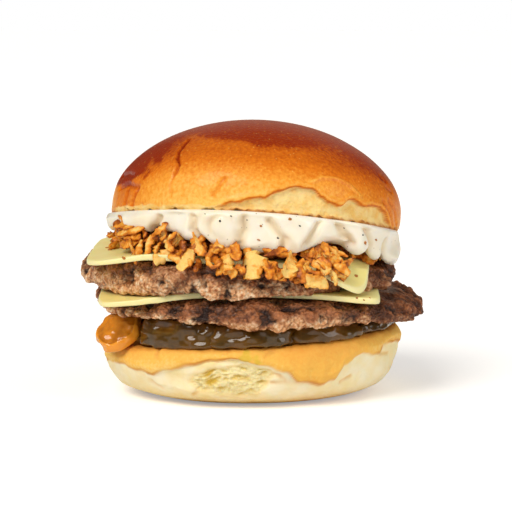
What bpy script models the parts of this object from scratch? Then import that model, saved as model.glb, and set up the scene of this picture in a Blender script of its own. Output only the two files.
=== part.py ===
"""A double cheeseburger, built the way it is stacked.

From the table up: the heel of a brioche bun, a ring of pickle slices, two smashed patties with a slice of
cheese on each, a heap of crispy fried onions, a thick cream sauce and the crown of the bun, tipped back.

Metres, +Z up. The origin is the middle of the heel's flat foot, and -Y is the burger's front. Each piece
starts as a spun profile, a grid or a bridged strip, and its points are then moved by a function of where
they are. Two faces that lie on each other are worked out from the same height, a small gap apart.
"""

import math
import random
from dataclasses import dataclass

import bmesh
import bpy
import numpy as np
from mathutils import Matrix, Vector

MM = 0.001
GAP = 0.3 * MM
FRONT = 270

HEEL_RADIUS = 53.5 * MM
HEEL_HEIGHT = 21.0 * MM
HEEL_SLOPE = 0.05

PICKLE_RING_RADIUS = 39.8 * MM
PICKLE_RADIUS = 13.4 * MM
PICKLE_HALF_TURN = 19.4
PICKLE_SLOTS = 11
PICKLE_GAP_AZIMUTH = 205
LEANING_PLACE = (209, 53.6 * MM, 24.0 * MM)
LEANING_AZIMUTH = 238
LEANING_ANGLE = 42
PICKLE_LAYER_SHARE = 0.44
PICKLE_HANG_START = 49.8 * MM
PICKLE_HANG_SPAN = 3.6 * MM
PICKLE_DROOP_START = 48 * MM
PICKLE_DROOP_PER_M = 50

PATTY_DROOP_START = 40 * MM
PATTY_DROOP_SPAN = 18 * MM

CHEESE_THICKNESS = 2.0 * MM
CHEESE_GAP = 0.55 * MM

ONION_TOP = 56.3 * MM
ONION_TOP_SLOPE = -0.02
ONION_SHOULDER = 5.2 * MM
ONION_SHOULDER_AZIMUTH = 218
STRIP_THICKNESS = 1.3 * MM
STRIP_ROOT = 0.83
ONION_SEED = 3
FRONT_STRIPS = 32
BACK_STRIPS = 8
HANGING_STRIPS = (258, 266, 276, 285, 294)

SAUCE_TOP_GAP = 0.5 * MM

CROWN_RADIUS = 52.6 * MM
CROWN_SHIFT = 0.8 * MM
CROWN_RISE = 34.0 * MM
CROWN_CUT = 63.9 * MM
CROWN_BACK_TILT = 0.105
CROWN_RIGHT_TILT = 0.062
CROWN_RIGHT_LEAN = 0.125
CROWN_SAG = 2.8 * MM
CROWN_DOME_POWER = 2.0

BREAD = (0.78, 0.47, 0.16)
CRUST = (0.52, 0.21, 0.05)
MEAT = (0.17, 0.09, 0.06)
CHEESE = (0.82, 0.77, 0.42)
PICKLE = (0.13, 0.08, 0.02)
ONION = (0.66, 0.33, 0.08)
SAUCE = (0.88, 0.82, 0.69)


def clear_scene():
    for obj in list(bpy.data.objects):
        bpy.data.objects.remove(obj)


def material(name, colour, roughness):
    """A Principled material of one plain colour."""
    made = bpy.data.materials.new(name)
    made.use_nodes = True
    shader = made.node_tree.nodes["Principled BSDF"]
    shader.inputs["Base Color"].default_value = (*colour, 1.0)
    shader.inputs["Roughness"].default_value = roughness
    shader.inputs["Metallic"].default_value = 0.0
    made.diffuse_color = (*colour, 1.0)
    return made


def add_object(name, bm, finish):
    """Makes the bmesh an object with smooth faces and sharp edges past 40 degrees."""
    bmesh.ops.recalc_face_normals(bm, faces=bm.faces)
    if bm.calc_volume(signed=True) < 0:
        bmesh.ops.reverse_faces(bm, faces=bm.faces)
    mesh = bpy.data.meshes.new(name)
    bm.to_mesh(mesh)
    bm.free()
    mesh.materials.append(finish)
    mesh.shade_smooth()
    mesh.set_sharp_from_angle(angle=math.radians(40))
    obj = bpy.data.objects.new(name, mesh)
    bpy.context.scene.collection.objects.link(obj)
    return obj


def spun(profile, segments, shape):
    """Spins (radius share, height share) pairs round Z, then moves every point by shape(azimuth, share, height)."""
    bm = bmesh.new()
    line = [bm.verts.new((radius, 0, height)) for radius, height in profile]
    edges = [bm.edges.new(pair) for pair in zip(line, line[1:])]
    bmesh.ops.spin(
        bm,
        geom=line + edges,
        axis=(0, 0, 1),
        cent=(0, 0, 0),
        steps=segments,
        angle=math.tau,
        use_merge=True,
    )
    bmesh.ops.remove_doubles(bm, verts=bm.verts, dist=1e-5)
    points = np.array([vert.co for vert in bm.verts])
    azimuth = np.degrees(np.arctan2(points[:, 1], points[:, 0]))
    share = np.hypot(points[:, 0], points[:, 1])
    for vert, place in zip(bm.verts, shape(azimuth, share, points[:, 2])):
        vert.co = place
    return bm


def lattice_value(i, j, k, seed):
    """A repeatable value from -1 to 1 for each whole-number lattice point."""
    mixed = (i * 374761393 + j * 668265263 + k * 1442695041 + seed * 974634777) & 0xFFFFFFFF
    mixed = ((mixed ^ (mixed >> 13)) * 1274126177) & 0xFFFFFFFF
    return ((mixed ^ (mixed >> 16)) & 0xFFFF) / 32767.5 - 1


def noise(points, size, seed):
    """Smooth noise from -1 to 1, whose lumps are about size across."""
    scaled = np.asarray(points) / size
    cell = np.floor(scaled).astype(np.int64)
    along = scaled - cell
    along = along * along * (3 - 2 * along)
    total = np.zeros(len(scaled))
    for corner in np.ndindex(2, 2, 2):
        weight = np.prod(np.where(np.array(corner) == 1, along, 1 - along), axis=1)
        total += weight * lattice_value(*(cell + corner).T, seed)
    return total


def bump(azimuth, at, width):
    """A smooth bump of height 1 at one azimuth, in degrees, that is gone about twice its width away."""
    away = (azimuth - at + 180) % 360 - 180
    return np.exp(-((away / width) ** 2))


def swell(azimuth, base, marks):
    """A base value with a bump of its own size and width added at each marked azimuth."""
    return base + sum(size * bump(azimuth, at, width) for at, size, width in marks)


def round_table(azimuth, table):
    """A value read round the clock from (azimuth, value) pairs, with smooth steps between them."""
    at, value = np.array(table, float).T
    at = np.concatenate([at[-1:] - 360, at, at[:1] + 360])
    value = np.concatenate([value[-1:], value, value[:1]])
    turned = (np.asarray(azimuth) - at[1]) % 360 + at[1]
    index = np.clip(np.searchsorted(at, turned, side="right") - 1, 0, len(at) - 2)
    along = (turned - at[index]) / (at[index + 1] - at[index])
    along = along * along * (3 - 2 * along)
    return value[index] * (1 - along) + value[index + 1] * along


def polar(x, y, centre=(0.0, 0.0)):
    """(radius, azimuth in degrees) of points seen from a centre."""
    away_x, away_y = x - centre[0], y - centre[1]
    return np.hypot(away_x, away_y), np.degrees(np.arctan2(away_y, away_x))


def round_points(azimuth, radius, centre=(0.0, 0.0)):
    """The x and y of points at that azimuth and radius from a centre."""
    angle = np.radians(azimuth)
    return centre[0] + radius * np.cos(angle), centre[1] + radius * np.sin(angle)


def smooth_step(value):
    """0 below 0, 1 above 1 and a smooth rise between."""
    held = np.clip(value, 0, 1)
    return held * held * (3 - 2 * held)


HEEL_PROFILE = (
    (0, 0), (0.35, 0), (0.65, 0), (0.735, 0.035), (0.84, 0.13), (0.925, 0.28), (0.975, 0.45),
    (1.0, 0.62), (1.0, 0.78), (0.992, 0.88), (0.972, 0.95), (0.935, 1), (0.55, 1), (0, 1),
)
HEEL_FOLD = (
    (5, 15 * MM), (60, 12 * MM), (110, 15 * MM), (150, 10 * MM), (183, 13 * MM), (225, 11.3 * MM),
    (250, 17 * MM), (272, 16 * MM), (290, 9.6 * MM), (306, 9.8 * MM), (318, 15 * MM),
)
HEEL_FOLD_DEPTH = 1.5 * MM


def heel_top(x):
    """The height of the heel's cut face, which rises to the right."""
    return HEEL_HEIGHT + HEEL_SLOPE * x


def heel_shape(azimuth, share, height):
    """The heel: a flat foot, a full side with the torn band set back under a fold, and a soft cut edge."""
    radius = HEEL_RADIUS * (1 + 0.012 * np.cos(np.radians(3 * azimuth + 40)))
    side = smooth_step((share - 0.7) / 0.25)
    below_fold = round_table(azimuth, HEEL_FOLD) - height * HEEL_HEIGHT
    torn = smooth_step(below_fold / (2 * MM)) * smooth_step((9 * MM - below_fold) / (5 * MM))
    lumps = noise(np.column_stack([*round_points(azimuth, radius * share), height * HEEL_HEIGHT]), 16 * MM, 4)
    x, y = round_points(azimuth, radius * share - side * (HEEL_FOLD_DEPTH * torn - 0.5 * MM * lumps))
    return np.column_stack([x, y, height * heel_top(x)])


@dataclass
class Patty:
    """A smashed patty: two sloping faces that droop towards its rim, and an uneven round outline."""

    name: str
    centre: tuple
    radius: float
    bottom: float
    top: float
    bottom_slope: float
    top_slope: float
    bottom_droop: tuple
    top_droop: tuple
    outline: tuple
    seed: int


LOWER_PATTY = Patty(
    name="patty_lower",
    centre=(2.5 * MM, 0.5 * MM),
    radius=58.5 * MM,
    bottom=30.2 * MM,
    top=38.6 * MM,
    bottom_slope=-0.025,
    top_slope=-0.02,
    bottom_droop=(0.5 * MM, ((FRONT, 0.6 * MM, 40), (335, 0.3 * MM, 35))),
    top_droop=(1.2 * MM, ((215, 2.0 * MM, 40), (345, 3.6 * MM, 28))),
    outline=((352, 3.4 * MM, 26), (180, 1.5 * MM, 30), (300, -1.5 * MM, 20), (80, -1.5 * MM, 50)),
    seed=11,
)
UPPER_PATTY = Patty(
    name="patty_upper",
    centre=(-5 * MM, 0.5 * MM),
    radius=57.0 * MM,
    bottom=42.0 * MM,
    top=49.7 * MM,
    bottom_slope=-0.01,
    top_slope=-0.02,
    bottom_droop=(1.0 * MM, ((FRONT, 2.8 * MM, 40), (222, 2.2 * MM, 32), (340, 1.6 * MM, 30))),
    top_droop=(1.0 * MM, ((200, 1.4 * MM, 35), (243, -2.8 * MM, 22), (335, 4.0 * MM, 34))),
    outline=((183, 1.2 * MM, 20), (310, -1.5 * MM, 18), (345, 1.0 * MM, 20), (95, -2 * MM, 50)),
    seed=23,
)
PATTY_PROFILE = (
    (0, 0), (0.45, 0), (0.7, 0), (0.86, 0), (0.96, 0.03), (0.99, 0.2), (1.0, 0.45),
    (0.985, 0.75), (0.945, 0.95), (0.86, 1), (0.7, 1), (0.45, 1), (0, 1),
)


def patty_radius(patty, azimuth):
    """The patty's uneven outline: marked bulges and a ragged ripple."""
    ripple = noise(np.column_stack([*round_points(azimuth, patty.radius), 0 * azimuth]), 8 * MM, patty.seed)
    return swell(azimuth, patty.radius, patty.outline) + 0.9 * MM * ripple


def patty_droop(patty, x, y, marks):
    """How far a face of the patty has sunk at a point, growing as a square past where the droop starts."""
    radius, azimuth = polar(x, y, patty.centre)
    past = np.clip((radius - PATTY_DROOP_START) / PATTY_DROOP_SPAN, 0, None)
    return swell(azimuth, *marks) * past**2


def patty_bottom(patty, x, y):
    """The height of the patty's lower face."""
    return patty.bottom + patty.bottom_slope * x - patty_droop(patty, x, y, patty.bottom_droop)


def patty_top(patty, x, y):
    """The height of the patty's upper face."""
    return patty.top + patty.top_slope * x - patty_droop(patty, x, y, patty.top_droop)


def patty_shape(patty):
    """A function that moves a spun patty's points: outline, faces, and crags that only cut inwards at its rim."""

    def shape(azimuth, share, height):
        radius = patty_radius(patty, azimuth)
        rough = np.column_stack([*round_points(azimuth, patty.radius), height * 9 * MM])
        crag = noise(rough, 5.5 * MM, patty.seed + 1) - 1
        rim = smooth_step((share - 0.9) / 0.08)
        x, y = round_points(azimuth, radius * share + 1.1 * MM * crag * rim, patty.centre)
        return np.column_stack([x, y, patty_bottom(patty, x, y) * (1 - height) + patty_top(patty, x, y) * height])

    return shape


@dataclass
class Cheese:
    """A square slice of cheese with rounded corners, laid over a patty."""

    name: str
    patty: Patty
    centre: tuple
    half_side: float
    turn: float
    corner_power: float
    fold: tuple


LOWER_CHEESE = Cheese("cheese_lower", LOWER_PATTY, (-4.5 * MM, 2.8 * MM), 49.5 * MM, 0, 12, (0.12, ()))
UPPER_CHEESE = Cheese("cheese_upper", UPPER_PATTY, (-7.5 * MM, 1.0 * MM), 50 * MM, -2, 7, (0.1, ((313, 0.95, 16),)))


def cheese_bottom(cheese, x, y):
    """The underside of a slice: on the patty's upper face, and folding down past the patty's rim."""
    patty = cheese.patty
    radius, azimuth = polar(x, y, patty.centre)
    rim = patty_radius(patty, azimuth)
    past = np.clip(radius - rim, 0, None)
    held_x, held_y = round_points(azimuth, np.minimum(radius, rim), patty.centre)
    fold = swell(azimuth, *cheese.fold) * past * smooth_step(past / (4 * MM))
    return patty_top(patty, held_x, held_y) + CHEESE_GAP - fold


def cheese_outline(cheese, azimuth):
    """The distance from a slice's centre to its edge, as a superellipse turned with the slice."""
    angle = np.radians(azimuth - cheese.turn)
    power = cheese.corner_power
    return cheese.half_side / (np.abs(np.cos(angle)) ** power + np.abs(np.sin(angle)) ** power) ** (1 / power)


def cheese_slice(cheese, finish):
    """A grid squeezed to the slice's outline, thickened by an extrusion and laid on its patty."""
    bm = bmesh.new()
    bmesh.ops.create_grid(bm, x_segments=12, y_segments=12, size=1)
    grown = bmesh.ops.extrude_face_region(bm, geom=list(bm.faces))
    raised = {item for item in grown["geom"] if isinstance(item, bmesh.types.BMVert)}
    for vert in bm.verts:
        reach = max(abs(vert.co.x), abs(vert.co.y))
        azimuth = np.array([math.degrees(math.atan2(vert.co.y, vert.co.x))])
        x, y = round_points(azimuth, reach * cheese_outline(cheese, azimuth), cheese.centre)
        lift = CHEESE_THICKNESS if vert in raised else 0
        vert.co = (x[0], y[0], cheese_bottom(cheese, x, y)[0] + lift)
    return add_object(cheese.name, bm, finish)


def pickle_outline(angle, squareness, seed):
    """The reach of a slice's edge, 1 all round for a round slice, as a superellipse a little out of true."""
    power = 2 + squareness
    edge = (np.abs(np.cos(angle)) ** power + np.abs(np.sin(angle)) ** power) ** (-1 / power)
    return edge * (1 + 0.02 * np.cos(2 * angle + seed) + 0.015 * np.cos(5 * angle + 2 * seed))


def pickle_slice(slot, finish):
    """One slice of the ring, wider at its rim, which hangs down to the heel.

    It climbs a ramp, so that its far end lies over the next slice's near end.
    """
    middle = PICKLE_GAP_AZIMUTH + slot * 360 / PICKLE_SLOTS
    radius = PICKLE_RADIUS - (0.8 * (slot % 3 == 1) + 0.5 * (slot % 4 == 2)) * MM
    climb = (1 - PICKLE_LAYER_SHARE) / 2

    def shape(angle, share, height):
        turn = np.radians(angle)
        edge = pickle_outline(turn, 1.2, slot) * share
        distance = PICKLE_RING_RADIUS + radius * edge * np.cos(turn)
        ahead = edge * np.sin(turn)
        x, y = round_points(middle + PICKLE_HALF_TURN * ahead, distance)
        hang = smooth_step((distance - PICKLE_HANG_START) / PICKLE_HANG_SPAN)
        level = climb * (ahead + 1) * (1 - hang) + PICKLE_LAYER_SHARE * height
        low = heel_top(x) + GAP
        high = LOWER_PATTY.bottom + LOWER_PATTY.bottom_slope * x - GAP
        droop = PICKLE_DROOP_PER_M * np.clip(distance - PICKLE_DROOP_START, 0, None) ** 2
        return np.column_stack([x, y, low + (high - low) * np.clip(level, 0, 1) - droop])

    profile = ((0, 0), (0.6, 0), (0.8, 0), (0.93, 0), (1, 0.2), (1, 0.8), (0.93, 1), (0.8, 1), (0.6, 1), (0, 1))
    return add_object(f"pickle_{slot}", spun(profile, 16, shape), finish)


def leaning_pickle(finish):
    """The small slice at the front left, which has slid out and leans on the heel's shoulder."""
    radius, thickness, lean = 8.6 * MM, 3.4 * MM, math.radians(LEANING_ANGLE)
    azimuth, distance, level = LEANING_PLACE
    outward = np.array([*round_points(LEANING_AZIMUTH, 1), 0])
    across = np.array([-outward[1], outward[0], 0])
    down = outward * math.cos(lean) - np.array([0, 0, math.sin(lean)])
    face = np.cross(down, across)
    middle = np.array([*round_points(azimuth, distance), level])

    def shape(angle, share, height):
        turn = np.radians(angle)
        edge = radius * pickle_outline(turn, 0, 0) * share
        flat = np.outer(edge * np.cos(turn), down) + np.outer(edge * np.sin(turn), across)
        return middle + flat + np.outer((height - 0.5) * thickness, face)

    profile = ((0, 0), (0.6, 0), (0.9, 0), (1, 0.3), (1, 0.7), (0.9, 1), (0.6, 1), (0, 1))
    return add_object("pickle_0", spun(profile, 18, shape), finish)


ONION_OUTLINE = (45.0 * MM, ((FRONT, 3.5 * MM, 45), (215, 3.0 * MM, 35), (90, -1.5 * MM, 50)))


def onion_top(x, y):
    """The height of the heap's top, on which the sauce lies, with a higher shoulder at the front left."""
    radius, azimuth = polar(x, y)
    shoulder = ONION_SHOULDER * bump(azimuth, ONION_SHOULDER_AZIMUTH, 34) * (radius / (45 * MM)) ** 2
    return ONION_TOP + ONION_TOP_SLOPE * (x + y) + shoulder


def onion_core():
    """The heap's solid middle, which the strips are fused to."""

    def shape(azimuth, share, height):
        x, y = round_points(azimuth, share * swell(azimuth, *ONION_OUTLINE))
        low = cheese_bottom(UPPER_CHEESE, x, y) + CHEESE_THICKNESS + GAP
        return np.column_stack([x, y, low * (1 - height) + onion_top(x, y) * height])

    foot = ((0, 0), (0.5, 0), (0.88, 0), (0.98, 0.2), (1, 0.42))
    top = ((0.95, 0.66), (0.85, 0.9), (0.76, 1), (0.4, 1), (0, 1))
    return spun(foot + top, 40, shape)


def strip_mesh(centres, widths, rolls):
    """A flat strip of four-cornered sections carried along a path, rolled about it and bridged."""
    bm = bmesh.new()
    loops = []
    for index, centre in enumerate(centres):
        before, after = centres[max(index - 1, 0)], centres[min(index + 1, len(centres) - 1)]
        along = (after - before).normalized()
        level = Vector((-centre.y, centre.x, 0)).normalized()
        level = (level - along * level.dot(along)).normalized()
        side = Matrix.Rotation(rolls[index], 3, along) @ level
        rise = side.cross(along) * STRIP_THICKNESS / 2
        side *= widths[index] / 2
        corners = (centre - side - rise, centre + side - rise, centre + side + rise, centre - side + rise)
        verts = [bm.verts.new(corner) for corner in corners]
        loops.append([bm.edges.new((verts[k - 1], verts[k])) for k in range(4)])
    for loop in (loops[0], loops[-1]):
        bmesh.ops.contextual_create(bm, geom=loop)
    for near, far in zip(loops, loops[1:]):
        bmesh.ops.bridge_loops(bm, edges=near + far)
    return bm


def strip_room(azimuth, radius):
    """The lowest and highest level that a strip's middle may have at a place, as its flat half height leaves it."""
    azimuths = azimuth + np.array([-4, -2, 0, 2, 4])
    x, y = round_points(azimuths, radius)
    floor = cheese_bottom(UPPER_CHEESE, x, y).max() + CHEESE_THICKNESS
    under_sauce = radius < round_table(azimuths, SAUCE_OUTLINE).max() + 0.8 * MM
    ceiling = sauce_lip(azimuths).min() + (0 if under_sauce else 4 * MM)
    return floor + 0.5 * MM, ceiling - 0.6 * MM


def strip_path(draw, start, turn, reach):
    """The middles, widths and rolls of a strip that runs out of the core, or None where there is no room for it."""
    inner = STRIP_ROOT * swell(start, *ONION_OUTLINE)
    width = draw.uniform(2.4, 4.6) * MM
    level = draw.random()
    centres, widths, rolls = [], [], []
    for step in (0, 0.3, 0.65, 1):
        azimuth, radius = start + turn * step, inner + (reach - inner) * step
        section = width * (0.9, 1, 0.9, 0.6)[len(centres)]
        low, high = strip_room(azimuth, radius)
        spare = high - low - STRIP_THICKNESS
        if spare < 0:
            return None
        roll = draw.uniform(-1, 1) * math.asin(min(0.75, spare / section))
        half = (section * abs(math.sin(roll)) + STRIP_THICKNESS * math.cos(roll)) / 2
        level = min(max(level + draw.uniform(-0.5, 0.4), 0), 1)
        x, y = round_points(azimuth, radius)
        centres.append(Vector((x, y, low + half + (high - low - 2 * half) * level)))
        widths.append(section)
        rolls.append(roll)
    return centres, widths, rolls


def hanging_path(draw, azimuth):
    """The middles, widths and rolls of a strip that lies over the upper patty's rim and hangs down before it."""
    inner = STRIP_ROOT * swell(azimuth, *ONION_OUTLINE)
    rim = float(patty_radius(UPPER_PATTY, np.array([azimuth]))[0])
    outside = rim + 1.9 * MM + sum(round_points(azimuth, 1)[axis] * UPPER_PATTY.centre[axis] for axis in (0, 1))
    width = draw.uniform(2.8, 4.8) * MM
    crossed = np.linspace(inner, outside - 2 * MM, 6)
    low, high = zip(*(strip_room(azimuth, radius) for radius in crossed))
    level = max((max(low) + min(high)) / 2, max(low) + 0.7 * STRIP_THICKNESS)
    drop, drift = draw.uniform(3, 6) * MM, draw.uniform(-4, 4)
    places = (
        (azimuth - drift, inner, level),
        (azimuth, outside - 3 * MM, level),
        (azimuth + 0.5 * drift, outside + 0.2 * MM, level - 0.8 * MM),
        (azimuth + drift, outside + 0.8 * MM, level - drop),
    )
    centres = [Vector((*round_points(around, radius), height)) for around, radius, height in places]
    return centres, [width * share for share in (0.7, 1, 0.9, 0.5)], [0, 0, 0, 0]


def onion_strips():
    """The strips round the heap, most of them where the front shows them."""
    draw = random.Random(ONION_SEED)
    strips = []
    for index in range(FRONT_STRIPS + BACK_STRIPS):
        front = index < FRONT_STRIPS
        share = (index + 0.7 * draw.random()) / FRONT_STRIPS if front else (index - FRONT_STRIPS) / BACK_STRIPS
        start = 196 + 124 * share if front else 328 + 228 * share
        far = swell(start, 53.5 * MM, ((FRONT, 6.5 * MM, 38),)) if front else 51 * MM
        path = strip_path(draw, start, draw.uniform(-16, 16), far - draw.uniform(0, 4) * MM)
        if path:
            strips.append(strip_mesh(*path))
    for azimuth in HANGING_STRIPS:
        strips.append(strip_mesh(*hanging_path(draw, azimuth)))
    return strips


def islands(bm):
    """The separate shells of a bmesh, each as a set of faces."""
    left = set(bm.faces)
    found = []
    while left:
        island, edge = set(), {left.pop()}
        while edge:
            island |= edge
            edge = {other for face in edge for side in face.edges for other in side.link_faces} - island
        left -= island
        found.append(island)
    return found


def keep_main_shell(mesh):
    """Drops every shell but the largest: loose scraps, and the walls of sealed hollows."""
    bm = bmesh.new()
    bm.from_mesh(mesh)
    shells = sorted(islands(bm), key=lambda shell: sum(face.calc_area() for face in shell))
    scraps = [face for shell in shells[:-1] for face in shell]
    bmesh.ops.delete(bm, geom=scraps, context="FACES")
    bm.to_mesh(mesh)
    bm.free()


def onion_heap(finish):
    """The core with its strips joined on by one Boolean union."""
    heap = add_object("onion_heap", onion_core(), finish)
    strips = bpy.data.collections.new("onion_strips")
    for index, strip_bm in enumerate(onion_strips()):
        strip = add_object(f"strip_{index}", strip_bm, finish)
        bpy.context.scene.collection.objects.unlink(strip)
        strips.objects.link(strip)
    join = heap.modifiers.new("join", "BOOLEAN")
    join.operation = "UNION"
    join.operand_type = "COLLECTION"
    join.collection = strips
    join.solver = "MANIFOLD"
    graph = bpy.context.evaluated_depsgraph_get()
    joined = bpy.data.meshes.new_from_object(heap.evaluated_get(graph))
    heap.modifiers.clear()
    keep_main_shell(joined)
    heap.data = joined
    for strip in list(strips.objects):
        bpy.data.objects.remove(strip)
    bpy.data.collections.remove(strips)
    return heap


SAUCE_OUTLINE = (
    (0, 51.5 * MM), (40, 49.5 * MM), (90, 49 * MM), (140, 49.5 * MM), (180, 52 * MM), (205, 50 * MM),
    (235, 50 * MM), (255, 53.5 * MM), (272, 52.5 * MM), (285, 54.5 * MM), (300, 52 * MM), (315, 54.5 * MM),
    (330, 52.5 * MM), (345, 53.5 * MM),
)
SAUCE_LIP = (
    (0, 47 * MM), (30, 54.5 * MM), (90, 54.5 * MM), (150, 55 * MM), (180, 58.5 * MM), (205, 62 * MM),
    (235, 61.5 * MM), (255, 57 * MM), (272, 54.8 * MM), (290, 55 * MM), (302, 58 * MM), (316, 53.2 * MM),
    (332, 49.5 * MM), (348, 45.9 * MM),
)
SAUCE_PROFILE = (
    (0, 1, 0), (0.35, 1, 0), (0.65, 1, 0), (0.89, 1, 0), (0.955, 0.96, 0.04), (0.992, 0.82, 0.18), (1.0, 0.48, 0.52),
    (0.99, 0.15, 0.85), (0.95, 0, 1), (0.9, 0, 0.6), (0.84, 0, 0), (0.4, 0, 0), (0, 0, 0),
)


def sauce_lip(azimuth):
    """The height of the sauce's lowest hanging edge."""
    return round_table(azimuth, SAUCE_LIP)


def crown_cut(x, y):
    """The height of the crown's cut face: tipped back and to the right, and sagging at both sides."""
    return CROWN_CUT - CROWN_BACK_TILT * y - CROWN_RIGHT_TILT * x - CROWN_SAG * (x / CROWN_RADIUS) ** 2


def sauce_blob(finish):
    """The sauce: squeezed between heap and crown, with lobes that bulge and hang at its edge."""
    share_top = {(round(r, 4), index): None for index, (r, _, _) in enumerate(SAUCE_PROFILE)}
    profile = [(r, index) for r, index in share_top]

    def shape(azimuth, share, index):
        row = np.array(SAUCE_PROFILE)[np.rint(index).astype(int)]
        x, y = round_points(azimuth, share * round_table(azimuth, SAUCE_OUTLINE))
        top = crown_cut(x, y) - SAUCE_TOP_GAP
        inner = onion_top(x, y) + GAP
        return np.column_stack([x, y, top * row[:, 1] + sauce_lip(azimuth) * row[:, 2] + inner * (1 - row[:, 1] - row[:, 2])])

    return add_object("sauce", spun(profile, 60, shape), finish)


CROWN_FOLD = (
    (250, 0 * MM), (268, 4 * MM), (285, 11.5 * MM), (300, 9 * MM), (325, 6.5 * MM), (350, 7 * MM), (370, 3 * MM), (400, 0 * MM),
)
CROWN_FOLD_DEPTH = 1.6 * MM
CROWN_EDGE = 5.0 * MM


def crown_profile():
    """(radius share, height share) pairs: flat cut face, a round lower edge, and a dome as a superellipse."""
    foot = [(0, 0), (0.35, 0), (0.65, 0), (0.92, 0), (0.965, 0.012), (0.99, 0.045), (1.0, CROWN_EDGE / CROWN_RISE)]
    dome = []
    for step in range(1, 10):
        climb = math.sin(math.pi / 2 * step / 9)
        share = (1 - climb**CROWN_DOME_POWER) ** (1 / CROWN_DOME_POWER) if step < 9 else 0
        dome.append((share, (CROWN_EDGE + (CROWN_RISE - CROWN_EDGE) * climb) / CROWN_RISE))
    return foot + dome


def crown_shape(azimuth, share, height):
    """The crown: a dome sheared back and to the right, with a torn band set back under a fold at its front."""
    rise = height * CROWN_RISE
    radius = swell(azimuth, CROWN_RADIUS, ((200, -0.6 * MM, 30),))
    side = smooth_step((share - 0.8) / 0.15)
    below_fold = round_table(azimuth, CROWN_FOLD) - rise
    torn = smooth_step(below_fold / (2 * MM)) * smooth_step(rise / (1.5 * MM))
    flat = np.column_stack([*round_points(azimuth, radius * share), rise])
    lumps = 0.6 * MM * noise(flat, 18 * MM, 31) * smooth_step(rise / (3 * MM))
    x, y = round_points(azimuth, radius * share - side * CROWN_FOLD_DEPTH * torn + lumps * side, (CROWN_SHIFT, 0))
    cut = crown_cut(x, y)
    return np.column_stack([x + CROWN_RIGHT_LEAN * rise, y + CROWN_BACK_TILT * rise, cut + rise])


def build():
    """Makes every piece, from the table up."""
    clear_scene()
    bread = material("brioche heel", BREAD, 0.6)
    meat = material("seared beef", MEAT, 0.6)
    cheese = material("sliced cheese", CHEESE, 0.4)
    pickle = material("pickled cucumber", PICKLE, 0.15)
    add_object("heel", spun(HEEL_PROFILE, 60, heel_shape), bread)
    leaning_pickle(pickle)
    for slot in range(1, PICKLE_SLOTS):
        pickle_slice(slot, pickle)
    for patty in (LOWER_PATTY, UPPER_PATTY):
        add_object(patty.name, spun(PATTY_PROFILE, 68, patty_shape(patty)), meat)
    for slice_of_cheese in (LOWER_CHEESE, UPPER_CHEESE):
        cheese_slice(slice_of_cheese, cheese)
    onion_heap(material("crispy fried onion", ONION, 0.6))
    sauce_blob(material("cream sauce", SAUCE, 0.25))
    add_object("crown", spun(crown_profile(), 60, crown_shape), material("brioche crust", CRUST, 0.35))


build()
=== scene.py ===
"""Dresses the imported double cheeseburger: brioche, pickles, beef, cheese, fried onions and cream sauce.

Metres, +Z up, the burger's front at -Y. Every piece is a surface worked out on a grid: a profile is spun
round an axis or carried along a path, and relief then moves its points along their normals. Angles round
the burger are degrees, 0 at its right and 270 at its front.
"""

import math
from dataclasses import dataclass, field

import bpy
import numpy as np
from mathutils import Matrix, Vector
from mathutils.bvhtree import BVHTree


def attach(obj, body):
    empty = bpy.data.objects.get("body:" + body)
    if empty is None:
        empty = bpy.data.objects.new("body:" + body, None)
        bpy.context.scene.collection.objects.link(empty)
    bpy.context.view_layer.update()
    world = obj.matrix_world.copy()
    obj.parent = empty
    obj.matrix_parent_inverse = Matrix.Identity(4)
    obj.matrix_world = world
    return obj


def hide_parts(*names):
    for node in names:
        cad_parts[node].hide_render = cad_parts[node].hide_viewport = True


bl_info = {
    "name": "Double Cheeseburger",
    "version": (1, 0, 0),
    "blender": (4, 5, 0),
    "location": "3D View > Sidebar > Burger",
    "description": "Dresses a packed double cheeseburger in bread, beef, cheese, pickles, fried onions and sauce",
    "category": "Add Mesh",
}

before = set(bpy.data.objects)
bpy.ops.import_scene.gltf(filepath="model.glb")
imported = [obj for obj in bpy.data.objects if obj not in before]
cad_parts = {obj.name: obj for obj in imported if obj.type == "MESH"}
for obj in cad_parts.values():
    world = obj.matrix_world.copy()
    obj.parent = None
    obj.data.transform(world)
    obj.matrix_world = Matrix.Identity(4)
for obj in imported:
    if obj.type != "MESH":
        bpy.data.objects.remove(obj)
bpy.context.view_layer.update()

MM = 0.001
GAP = 0.3 * MM
FRONT = 270

# the camera

IMAGE_SIZE = 512
SENSOR = 0.036
AIM = np.array([1.46, 0, 48.5]) * MM


# small tools for numbers


def linear(hex_colour):
    """An sRGB hex colour as linear red, green and blue."""
    channels = [int(hex_colour[start:start + 2], 16) / 255 for start in (1, 3, 5)]
    return tuple(value / 12.92 if value <= 0.04045 else ((value + 0.055) / 1.055) ** 2.4 for value in channels)


def smooth_step(value):
    """0 below 0, 1 above 1 and a smooth rise between."""
    held = np.clip(value, 0, 1)
    return held * held * (3 - 2 * held)


def lattice_value(i, j, k, seed):
    """A repeatable value from -1 to 1 for each whole-number lattice point."""
    mixed = (i * 374761393 + j * 668265263 + k * 1442695041 + seed * 974634777) & 0xFFFFFFFF
    mixed = ((mixed ^ (mixed >> 13)) * 1274126177) & 0xFFFFFFFF
    return ((mixed ^ (mixed >> 16)) & 0xFFFF) / 32767.5 - 1


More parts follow.
